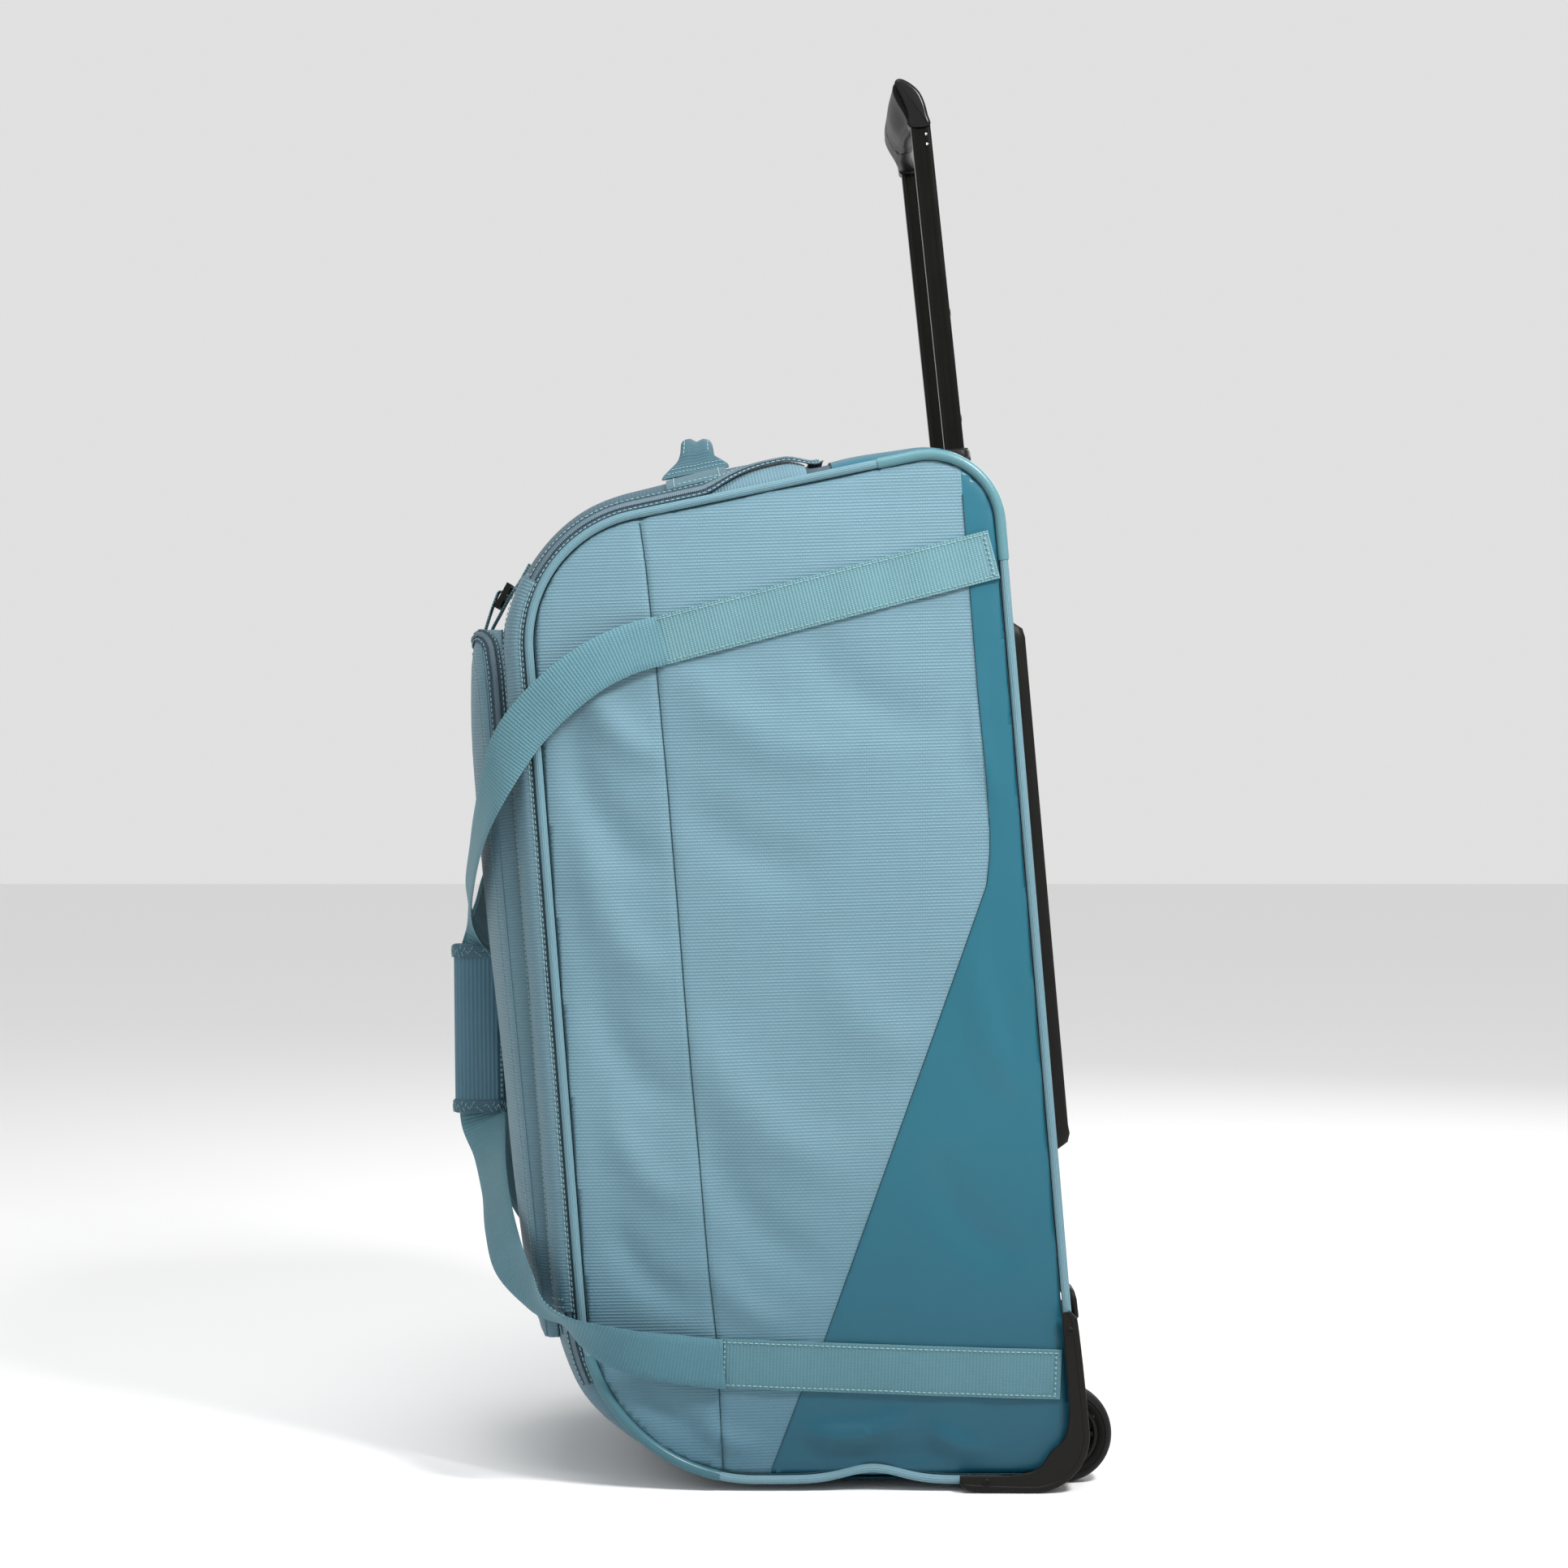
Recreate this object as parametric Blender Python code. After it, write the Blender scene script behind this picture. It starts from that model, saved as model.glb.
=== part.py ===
"""Rolling duffel bag standing on its base, trolley handle drawn out.

+Z is up, +X points to the trolley side (the back), Y runs across the bag, "left" is -Y.
The origin is the middle of the bounding box at floor level. Lengths are in metres.
"""

import math

import bmesh
import bpy
from mathutils import Vector

# ---- driving dimensions ----
HALF_WIDTH = 0.1855          # centre plane to the edge of the wrap-round panels
FABRIC = 0.003               # thickness of a lined fabric panel
GAP = 0.0005                 # clearance between neighbouring solids
SECTION_POWER = 2.4          # how boxy the crown across the bag is
SIDE_DOME = 0.008            # how far a side panel swells out
SIDE_FACE = 0.1895           # inner face of a side panel at its edge
PIPING_RADIUS = 0.0035
PIPING_Y = 0.1892
SLIDER_TOP = 0.0035
PULL_HINGE = (0.0045, 0.0052)   # along the zip from the slider's middle, and above its foot
PULL_END = 0.028
WEBBING_WIDTH = 0.038
WEBBING = 0.0018
POCKET_DEPTH_TOP = 0.022
POCKET_DEPTH_BOTTOM = 0.012
POCKET_HALF_WIDTH = 0.158
RIM_LIFT = 0.0015            # clearance between the pocket's rim and the lid
TUBE_Y = 0.100
TUBE_SIZE = (0.016, 0.012)   # inner tube, X and Y
TUBE_WALL = 0.0014
TUBE_TILT = math.radians(6.0)
TUBE_EXIT = Vector((0.143, 0.0, 0.816))
OUTER_TUBE_LENGTH = 0.60
INNER_TUBE_REACH = (-0.30, 0.232)   # lower and upper end, measured from the exit
WHEEL_RADIUS = 0.038
WHEEL_WIDTH = 0.024
WHEEL_CENTRE = Vector((0.2255, 0.150, WHEEL_RADIUS))
AXLE_RADIUS = 0.004
AXLE_CLEARANCE = 0.00006
ARC_STEP = 0.012             # spacing of points round a curved stretch

# side outline of the bag: corner x, corner z, corner radius
CORNERS = [
    (0.2365, 0.009, 0.035),
    (0.1690, 0.8105, 0.055),
    (-0.1957, 0.7343, 0.100),
    (-0.1385, 0.009, 0.135),
]

# how far the crown stands out from the side outline, by place on that outline
CROWN = [
    ((0.100, 0.009), 0.000),
    ((-0.045, 0.011), 0.000),
    ((-0.085, 0.030), 0.014),
    ((-0.140, 0.085), 0.030),
    ((-0.152, 0.180), 0.034),
    ((-0.175, 0.480), 0.034),
    ((-0.186, 0.640), 0.032),
    ((-0.178, 0.712), 0.026),
    ((-0.131, 0.748), 0.028),
    ((-0.030, 0.770), 0.032),
    ((0.010, 0.778), 0.031),
    ((0.034, 0.784), 0.017),
    ((0.060, 0.789), 0.018),
    ((0.130, 0.800), 0.014),
    ((0.172, 0.760), 0.006),
    ((0.180, 0.690), 0.004),
    ((0.232, 0.100), 0.003),
    ((0.232, 0.016), 0.000),
]

COLOURS = {
    "ripstop": ((0.24, 0.45, 0.52), 0.75, 0.0),
    "coated": ((0.055, 0.19, 0.27), 0.45, 0.0),
    "webbing": ((0.17, 0.41, 0.48), 0.80, 0.0),
    "zip": ((0.05, 0.10, 0.15), 0.50, 0.0),
    "plastic": ((0.020, 0.019, 0.018), 0.45, 0.0),
    "tube": ((0.008, 0.008, 0.008), 0.25, 0.6),
    "rubber": ((0.016, 0.016, 0.015), 0.70, 0.0),
    "steel": ((0.55, 0.55, 0.56), 0.30, 1.0),
    "board": ((0.06, 0.06, 0.06), 0.60, 0.0),
}


# ---- the side outline ----
class Outline:
    """A closed outline of straight runs and corner arcs, addressed by distance along it."""

    def __init__(self, corners):
        self.points = []
        count = len(corners)
        for i, (x, z, radius) in enumerate(corners):
            corner = Vector((x, z))
            before = (Vector(corners[i - 1][:2]) - corner).normalized()
            after = (Vector(corners[(i + 1) % count][:2]) - corner).normalized()
            half = before.angle(after) / 2
            centre = corner + (before + after).normalized() * radius / math.sin(half)
            start = corner + before * radius / math.tan(half)
            turn = math.pi - 2 * half
            steps = max(3, round(turn * radius / ARC_STEP))
            for k in range(steps + 1):
                angle = turn * k / steps
                arm = start - centre
                self.points.append(centre + Vector((
                    arm.x * math.cos(angle) - arm.y * math.sin(angle),
                    arm.x * math.sin(angle) + arm.y * math.cos(angle),
                )))
        self.lengths = [0.0]
        for a, b in zip(self.points, self.points[1:] + self.points[:1]):
            self.lengths.append(self.lengths[-1] + (b - a).length)
        self.total = self.lengths[-1]

    def at(self, s):
        """Point (x, z) and outward normal at distance s."""
        s %= self.total
        i = max(k for k in range(len(self.points)) if self.lengths[k] <= s)
        a, b = self.points[i], self.points[(i + 1) % len(self.points)]
        share = (s - self.lengths[i]) / (self.lengths[i + 1] - self.lengths[i])
        return a.lerp(b, share), self.normal(i).lerp(self.normal(i + 1), share).normalized()

    def normal(self, i):
        """Outward normal at point i, the mean of its two runs."""
        count = len(self.points)
        along = self.points[(i + 1) % count] - self.points[(i - 1) % count]
        return Vector((along.y, -along.x)).normalized()

    def find(self, x, z):
        """Distance along the outline of the place nearest to (x, z)."""
        steps = 1500
        spots = [self.total * k / steps for k in range(steps)]
        return min(spots, key=lambda s: (self.at(s)[0] - Vector((x, z))).length)


def smooth(share):
    return share * share * (3 - 2 * share)


def make_outline():
    """The outline runs counter-clockwise seen from -Y: up the back, over the top, down the front."""
    outline = Outline(CORNERS)
    keys = sorted((outline.find(*place), depth) for place, depth in CROWN)
    return outline, keys


OUTLINE, CROWN_KEYS = make_outline()


def crown(s):
    """Crown depth at distance s along the outline."""
    s %= OUTLINE.total
    keys = [(CROWN_KEYS[-1][0] - OUTLINE.total, CROWN_KEYS[-1][1])] + CROWN_KEYS
    keys.append((CROWN_KEYS[0][0] + OUTLINE.total, CROWN_KEYS[0][1]))
    for (s0, d0), (s1, d1) in zip(keys, keys[1:]):
        if s0 <= s <= s1:
            return d0 + (d1 - d0) * smooth((s - s0) / (s1 - s0))
    return 0.0


def shell(s, v, lift=0.0, inset=0.0):
    """Point of the wrap-round skin: s along the outline, v from -1 to 1 across the bag."""
    point, normal = OUTLINE.at(s)
    angle = v * math.pi / 2
    across = abs(math.sin(angle)) ** (2 / SECTION_POWER) * math.copysign(1, v)
    rise = max(math.cos(angle), 0.0) ** (2 / SECTION_POWER)
    depth = crown(s) * rise + lift
    return Vector((point.x + normal.x * depth, across * (HALF_WIDTH - inset), point.y + normal.y * depth))


def across_share(y):
    """The v of shell() that lies at y."""
    ratio = min(abs(y) / HALF_WIDTH, 1.0)
    return math.copysign(math.asin(ratio ** (SECTION_POWER / 2)) * 2 / math.pi, y)


def side_swell(x, z):
    """How far a side panel stands out at (x, z)."""
    top = 0.7905 + 0.2 * (x - 0.0355)
    front = -0.1475 - 0.079 * (z - 0.124)
    back = 0.2285 - 0.0881 * (z - 0.139)
    a = (2 * x - front - back) / (back - front)
    b = (2 * z - top - 0.009) / (top - 0.009)
    return SIDE_DOME * max(1 - abs(a) ** 3, 0) * max(1 - abs(b) ** 5, 0)


# ---- building helpers ----
def material(name):
    """The Principled material of a slot, made once."""
    if name in bpy.data.materials:
        return bpy.data.materials[name]
    colour, roughness, metallic = COLOURS[name]
    made = bpy.data.materials.new(name)
    made.use_nodes = True
    shader = made.node_tree.nodes["Principled BSDF"]
    shader.inputs["Base Color"].default_value = (*colour, 1.0)
    shader.inputs["Roughness"].default_value = roughness
    shader.inputs["Metallic"].default_value = metallic
    return made


def twisted(face):
    """Whether a four-sided face is out of plane by more than a tenth of a millimetre."""
    if len(face.verts) != 4:
        return False
    a, b, c, d = (vertex.co for vertex in face.verts)
    normal = (b - a).cross(c - a).normalized()
    return abs((d - a).dot(normal)) > 0.0001


def solid(name, slot, bm, smooth_angle=None):
    """Turn a closed bmesh into a named object with its faces pointing out."""
    bmesh.ops.triangulate(bm, faces=[face for face in bm.faces if twisted(face)])
    bmesh.ops.recalc_face_normals(bm, faces=bm.faces)
    if bm.calc_volume(signed=True) < 0:
        bmesh.ops.reverse_faces(bm, faces=bm.faces)
    mesh = bpy.data.meshes.new(name)
    bm.to_mesh(mesh)
    bm.free()
    if smooth_angle:
        mesh.shade_smooth()
        mesh.set_sharp_from_angle(angle=smooth_angle)
    mesh.materials.append(material(slot))
    made = bpy.data.objects.new(name, mesh)
    bpy.context.scene.collection.objects.link(made)
    return made


def set_origin(thing, place):
    """Move an object's origin to a place without moving its shape."""
    place = Vector(place)
    for vertex in thing.data.vertices:
        vertex.co -= place
    thing.location = place
    return thing


def grid_solid(name, slot, outer, inner, closed=False):
    """A thin closed shell between two grids of points of the same size."""
    bm = bmesh.new()
    skins = [[[bm.verts.new(p) for p in row] for row in grid] for grid in (outer, inner)]
    rows, columns = len(outer), len(outer[0])
    for skin in skins:
        for i in range(rows if closed else rows - 1):
            for j in range(columns - 1):
                n = (i + 1) % rows
                bm.faces.new((skin[i][j], skin[i][j + 1], skin[n][j + 1], skin[n][j]))
    top, under = skins
    for i in range(rows if closed else rows - 1):
        n = (i + 1) % rows
        for j in (0, columns - 1):
            bm.faces.new((top[i][j], top[n][j], under[n][j], under[i][j]))
    if not closed:
        for i in (0, rows - 1):
            for j in range(columns - 1):
                bm.faces.new((top[i][j], top[i][j + 1], under[i][j + 1], under[i][j]))
    return solid(name, slot, bm, math.radians(40))


def sweep(name, slot, sections, closed=False):
    """A solid through a list of equal rings of points, capped unless it closes on itself."""
    bm = bmesh.new()
    rings = [[bm.verts.new(p) for p in ring] for ring in sections]
    size, count = len(rings[0]), len(rings)
    for i in range(count if closed else count - 1):
        a, b = rings[i], rings[(i + 1) % count]
        for j in range(size):
            k = (j + 1) % size
            bm.faces.new((a[j], a[k], b[k], b[j]))
    if not closed:
        bm.faces.new(rings[0])
        bm.faces.new(rings[-1])
    return solid(name, slot, bm, math.radians(40))


def extrude_outline(name, slot, points, y0, y1):
    """A plate: an (x, z) outline carried from y0 to y1."""
    return sweep(name, slot, [[Vector((x, y, z)) for x, z in points] for y in (y0, y1)])


def ribbon(name, slot, rows, thickness):
    """A strip: each row is its left edge, right edge and outward normal."""
    sections = []
    for left, right, normal in rows:
        lift = normal * thickness
        sections.append([left, right, right + lift, left + lift])
    return sweep(name, slot, sections)


def box(name, slot, low, high):
    """An upright box between two corners."""
    points = [(low[0], low[2]), (high[0], low[2]), (high[0], high[2]), (low[0], high[2])]
    return extrude_outline(name, slot, points, low[1], high[1])


def cylinder(name, slot, centre, axis, radius, length, sides=24, bore=0.0):
    """A cylinder, or a ring when it has a bore."""
    axis = Vector(axis).normalized()
    side = axis.orthogonal().normalized()
    other = axis.cross(side)
    centre = Vector(centre)

    def ring(r, d):
        turns = [2 * math.pi * k / sides for k in range(sides)]
        return [centre + axis * d + (side * math.cos(t) + other * math.sin(t)) * r for t in turns]

    if bore:
        rings = [ring(radius, -length / 2), ring(radius, length / 2), ring(bore, length / 2),
                 ring(bore, -length / 2)]
        return sweep(name, slot, rings, closed=True)
    return sweep(name, slot, [ring(radius, -length / 2), ring(radius, length / 2)])


def cut(target, cutter, operation="DIFFERENCE"):
    """Apply a Boolean with a helper object, then drop the helper."""
    modifier = target.modifiers.new("cut", "BOOLEAN")
    modifier.operation = operation
    modifier.object = cutter
    modifier.solver = "EXACT"
    depsgraph = bpy.context.evaluated_depsgraph_get()
    mesh = bpy.data.meshes.new_from_object(target.evaluated_get(depsgraph))
    target.modifiers.clear()
    target.data = mesh
    bpy.data.objects.remove(cutter)
    return target


# ---- soft shell ----
LID_START = OUTLINE.find(0.026, 0.7820)
LID_END = OUTLINE.find(-0.060, 0.0150)
ZIP_RUN = OUTLINE.find(0.0355, 0.7838)
TOP_START = OUTLINE.find(0.166, 0.7700)
TOP_END = OUTLINE.find(0.046, 0.7862)
BACK_START = OUTLINE.find(0.2275, 0.1420)
BOTTOM_START = OUTLINE.find(-0.050, 0.0130)
BOTTOM_END = OUTLINE.find(0.150, 0.0090)


def wrap_panel(name, slot, start, end, rows, columns=12):
    """A panel of the wrap-round skin between two places on the outline."""
    outer, inner = [], []
    for i in range(rows + 1):
        s = start + (end - start) * i / rows
        spread = [2 * j / columns - 1 for j in range(columns + 1)]
        outer.append([shell(s, v) for v in spread])
        inner.append([shell(s, v, lift=-FABRIC, inset=FABRIC) for v in spread])
    return grid_solid(name, slot, outer, inner)


def side_outline(inset):
    """Points (x, z) of the side outline, drawn in by inset."""
    return [OUTLINE.points[i] - OUTLINE.normal(i) * inset for i in range(len(OUTLINE.points))]


def side_panels():
    edge = side_outline(PIPING_RADIUS + GAP)
    middle = Vector((0.015, 0.400))
    for name, way in (("left", -1), ("right", 1)):
        skins = []
        for layer in (0.0, FABRIC):
            rings = []
            for scale in (1.0, 0.8, 0.5, 0.2):
                ring = []
                for point in edge:
                    x, z = middle + (point - middle) * scale
                    ring.append(Vector((x, way * (SIDE_FACE + side_swell(x, z) + layer), z)))
                rings.append(ring)
            skins.append(rings)
        bm = bmesh.new()
        count = len(edge)
        made = [[[bm.verts.new(p) for p in ring] for ring in rings] for rings in skins]
        for rings in made:
            for a, b in zip(rings, rings[1:]):
                for j in range(count):
                    k = (j + 1) % count
                    bm.faces.new((a[j], a[k], b[k], b[j]))
            heart = bm.verts.new(sum((v.co for v in rings[-1]), Vector()) / count)
            for j in range(count):
                bm.faces.new((rings[-1][j], rings[-1][(j + 1) % count], heart))
        for j in range(count):
            k = (j + 1) % count
            bm.faces.new((made[0][0][j], made[0][0][k], made[1][0][k], made[1][0][j]))
        solid("side_panel_" + name, "ripstop", bm, math.radians(40))


def piping():
    """Piping round each side panel, from the guard's top over the bag to the guard's front end."""
    start, end = OUTLINE.find(0.2275, 0.146), OUTLINE.find(0.138, 0.009)
    steps = 64
    for name, way in (("left", -1), ("right", 1)):
        sections = []
        for i in range(steps + 1):
            point, normal = OUTLINE.at(start + (end - start) * i / steps)
            ring = []
            for k in range(6):
                turn = math.pi * (2 * k + 1) / 6
                out = PIPING_RADIUS * math.sin(turn) + 0.0036
                place = point + normal * out
                y = way * (PIPING_Y + PIPING_RADIUS * math.cos(turn))
                ring.append(Vector((place.x, y, place.y)))
            sections.append(ring)
        sweep("piping_" + name, "ripstop", sections)


def front_pocket():
    """A shallow pouch on the lid, open towards the lid."""
    top, bottom = OUTLINE.find(-0.1885, 0.664), OUTLINE.find(-0.1500, 0.115)
    rows, columns = 14, 12

    def skin(inset, thin):
        grid = []
        for i in range(-1, rows + 2):
            s = top + inset + (bottom - top - 2 * inset) * min(max(i, 0), rows) / rows
            row = []
            for j in range(-1, columns + 2):
                y = (POCKET_HALF_WIDTH - inset) * (2 * min(max(j, 0), columns) / columns - 1)
                share = (s - top) / (bottom - top)
                depth = POCKET_DEPTH_TOP + (POCKET_DEPTH_BOTTOM - POCKET_DEPTH_TOP) * share - thin
                on_rim = i in (-1, rows + 1) or j in (-1, columns + 1)
                row.append(shell(s, across_share(y), lift=RIM_LIFT if on_rim else depth))
            grid.append(row)
        return grid

    return grid_solid("front_pocket", "ripstop", skin(0.0, 0.0), skin(FABRIC, FABRIC))


def surface_rows(path, width, lift):
    """Rows for a ribbon that lies on the skin along (s, y) points."""
    rows = []
    spots = [shell(s, across_share(y), lift=lift) for s, y in path]
    for i, (s, y) in enumerate(path):
        along = (spots[min(i + 1, len(spots) - 1)] - spots[max(i - 1, 0)]).normalized()
        step = 0.004
        v = across_share(y)
        run = shell(s + step, v, lift) - shell(s - step, v, lift)
        side = shell(s, across_share(y + step), lift) - shell(s, across_share(y - step), lift)
        normal = side.cross(run).normalized()
        outward = Vector((OUTLINE.at(s)[1].x, 0, OUTLINE.at(s)[1].y))
        if normal.dot(outward) < 0:
            normal.negate()
        across = normal.cross(along).normalized() * width / 2
        rows.append((spots[i] - across, spots[i] + across, normal))
    return rows


def main_zip():
    """Coil zip: up one side of the lid, across the top in front of the trolley, down the other."""
    side_y, turn_radius = 0.168, 0.020
    low = OUTLINE.find(-0.1420, 0.083)
    path = []
    for i in range(28):
        path.append((low + (ZIP_RUN + turn_radius - low) * i / 27, -side_y))
    for i in range(1, 5):
        angle = math.pi / 2 * i / 4
        path.append((ZIP_RUN + turn_radius * (1 - math.sin(angle)),
                     -side_y + turn_radius * (1 - math.cos(angle))))
    for i in range(1, 8):
        path.append((ZIP_RUN, -side_y + turn_radius + (side_y - turn_radius) * i / 8))
    path.append((ZIP_RUN, 0.0))
    path += [(s, -y) for s, y in reversed(path[:-1])]
    return ribbon("main_zip", "zip", surface_rows(path, 0.0055, 0.0032), 0.0024)


def pocket_zip():
    """Coil zip across the top of the front pocket."""
    s = OUTLINE.find(-0.1885, 0.664) + 0.008
    path = [(s, -0.145 + 0.290 * i / 16) for i in range(17)]
    return ribbon("pocket_zip", "zip", surface_rows(path, 0.0055, POCKET_DEPTH_TOP + 0.0012), 0.0022)


def side_strap_rows(start, end, steps, lift):
    """Rows for webbing sewn flat on the left side panel between two (x, z) places."""
    start, end = Vector(start), Vector(end)
    along = (end - start).normalized()
    half = Vector((-along.y, along.x)) * WEBBING_WIDTH / 2
    rows = []
    for i in range(steps + 1):
        centre = start.lerp(end, i / steps)
        edges = []
        for place in (centre - half, centre + half):
            y = -(SIDE_FACE + side_swell(*place) + FABRIC + lift)
            edges.append(Vector((place.x, y, place.y)))
        rows.append((edges[0], edges[1], Vector((0, -1, 0))))
    return rows


def mirrored(rows, way):
    """The same ribbon rows on the other side of the bag when way is 1."""
    if way < 0:
        return rows
    flip = Vector((1, -1, 1))
    return [(left * flip, right * flip, normal * flip) for left, right, normal in rows]


UPPER_SEWN = ((-0.0915, 0.6540), (0.1690, 0.7220))
LOWER_SEWN = ((-0.0420, 0.1000), (0.2205, 0.0905))

# middle line of the left carry loop as (x, y, z) and the direction its width lies in
LOOP_UPPER = [
    ((-0.0968, -0.2014, 0.6527), (-0.25, 0.00, 0.97)),
    ((-0.1390, -0.2055, 0.6330), (-0.45, 0.00, 0.89)),
    ((-0.1640, -0.2050, 0.6160), (-0.55, 0.00, 0.83)),
    ((-0.1880, -0.2010, 0.5950), (-0.62, 0.10, 0.78)),
    ((-0.2060, -0.1960, 0.5720), (-0.62, 0.25, 0.74)),
    ((-0.2220, -0.1860, 0.5440), (-0.50, 0.55, 0.67)),
    ((-0.2350, -0.1660, 0.5130), (-0.30, 0.78, 0.55)),
    ((-0.2420, -0.1330, 0.4830), (-0.20, 0.70, 0.69)),
    ((-0.2470, -0.0850, 0.4530), (-0.45, 0.45, 0.77)),
    ((-0.2465, -0.0350, 0.4330), (-0.80, 0.20, 0.57)),
    ((-0.2430, -0.0045, 0.4165), (-1.00, 0.02, 0.05)),
]
LOOP_LOWER = [
    ((-0.2425, -0.0045, 0.2700), (-1.00, 0.02, -0.05)),
    ((-0.2345, -0.0300, 0.2520), (-0.80, 0.25, -0.55)),
    ((-0.2270, -0.0750, 0.2280), (-0.55, 0.60, -0.58)),
    ((-0.2200, -0.1150, 0.2010), (-0.60, 0.60, -0.53)),
    ((-0.2090, -0.1500, 0.1750), (-0.62, 0.62, -0.48)),
    ((-0.1900, -0.1780, 0.1530), (-0.35, 0.80, -0.48)),
    ((-0.1680, -0.2050, 0.1370), (0.10, 0.90, -0.40)),
    ((-0.1390, -0.2130, 0.1210), (0.10, 0.62, -0.78)),
    ((-0.1080, -0.2095, 0.1100), (-0.05, 0.35, -0.93)),
    ((-0.0770, -0.2045, 0.1050), (0.00, 0.08, -1.00)),
    ((-0.0452, -0.2005, 0.1005), (0.00, 0.00, -1.00)),
]


def loop_rows(points):
    """Ribbon rows along a carry loop, four to each stretch."""
    rows = []
    spots = [Vector(p) for p, _ in points]
    sides = [Vector(w).normalized() for _, w in points]
    for i in range(len(spots) - 1):
        before = spots[max(i - 1, 0)]
        after = spots[min(i + 2, len(spots) - 1)]
        for k in range(3 if i < len(spots) - 2 else 4):
            t = k / 3
            centre = curve_point(before, spots[i], spots[i + 1], after, t)
            ahead = curve_point(before, spots[i], spots[i + 1], after, min(t + 0.05, 1.0))
            behind = curve_point(before, spots[i], spots[i + 1], after, max(t - 0.05, 0.0))
            along = (ahead - behind).normalized()
            side = sides[i].lerp(sides[i + 1], t)
            side = (side - along * side.dot(along)).normalized() * WEBBING_WIDTH / 2
            rows.append((centre - side, centre + side, along.cross(side).normalized()))
    return rows


def curve_point(a, b, c, d, t):
    """Catmull-Rom point between b and c."""
    return 0.5 * (2 * b + (c - a) * t + (2 * a - 5 * b + 4 * c - d) * t * t
                  + (3 * b - a - 3 * c + d) * t ** 3)


def webbing():
    for name, way in (("left", -1), ("right", 1)):
        upper = side_strap_rows(*UPPER_SEWN, steps=6, lift=0.0012)
        ribbon("upper_strap_" + name, "webbing", mirrored(upper, way), WEBBING)
        lower = side_strap_rows(*LOWER_SEWN, steps=6, lift=0.0012)
        ribbon("lower_strap_" + name, "webbing", mirrored(lower, way), WEBBING)
        ribbon("upper_loop_" + name, "webbing", mirrored(loop_rows(LOOP_UPPER), way), 0.0016)
        ribbon("lower_loop_" + name, "webbing", mirrored(loop_rows(LOOP_LOWER), way), 0.0016)


def grip_wrap():
    """Padded wrap that holds both carry loops at the front of the lid."""
    low, high = 0.2765, 0.4095
    thick = 0.012
    sections = []
    for z, grow in ((low, 0.94), (low + 0.008, 1.0), (high - 0.008, 1.0), (high, 0.94)):
        lean = -0.0015 * (z - low) / (high - low)
        ring = []
        for k in range(16):
            turn = 2 * math.pi * k / 16
            x = math.copysign(abs(math.cos(turn)) ** 0.55, math.cos(turn)) * 0.0195 * grow
            y = math.copysign(abs(math.sin(turn)) ** 0.55, math.sin(turn)) * thick * grow
            ring.append(Vector((-0.2425 + lean + x, y, z)))
        sections.append(ring)
    return sweep("grip_wrap", "webbing", sections)


# ---- trolley handle ----
AXIS = Vector((-math.sin(TUBE_TILT), 0, math.cos(TUBE_TILT)))
ACROSS = Vector((math.cos(TUBE_TILT), 0, math.sin(TUBE_TILT)))


def tube_point(reach, dx, y):
    """Point at a reach along the tubes from their exit, dx behind their axis."""
    return TUBE_EXIT + AXIS * reach + ACROSS * dx + Vector((0, y, 0))


def rounded_section(size_x, size_y, corner):
    """Corners of a rectangle with chamfered corners, as (dx, dy)."""
    hx, hy = size_x / 2, size_y / 2
    return [(hx, hy - corner), (hx - corner, hy), (-hx + corner, hy), (-hx, hy - corner),
            (-hx, -hy + corner), (-hx + corner, -hy), (hx - corner, -hy), (hx, -hy + corner)]


def tube(name, slot, y, low, high, size, wall):
    """A hollow tube along the trolley axis."""
    outer = rounded_section(*size, 0.003)
    inner = rounded_section(size[0] - 2 * wall, size[1] - 2 * wall, 0.002)
    rings = []
    for section, reach in ((outer, low), (outer, high), (inner, high), (inner, low)):
        rings.append([tube_point(reach, dx, y + dy) for dx, dy in section])
    return sweep(name, slot, rings, closed=True)


# grip seen from the side, as (reach along the tubes, distance behind the tube axis)
GRIP_EAR = [(0.215, -0.0105), (0.226, -0.0125), (0.240, -0.0180), (0.255, -0.0235), (0.268, -0.0235),
            (0.281, -0.0185), (0.290, -0.0105), (0.293, -0.0030), (0.289, 0.0050), (0.278, 0.0095),
            (0.262, 0.0100), (0.215, 0.0095)]
GRIP_BAR_LOW = 0.250
HALF_GRIP = 0.1135


def grip_outline(points):
    return [(p.x, p.z) for p in (tube_point(reach, dx, 0) for reach, dx in points)]


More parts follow.
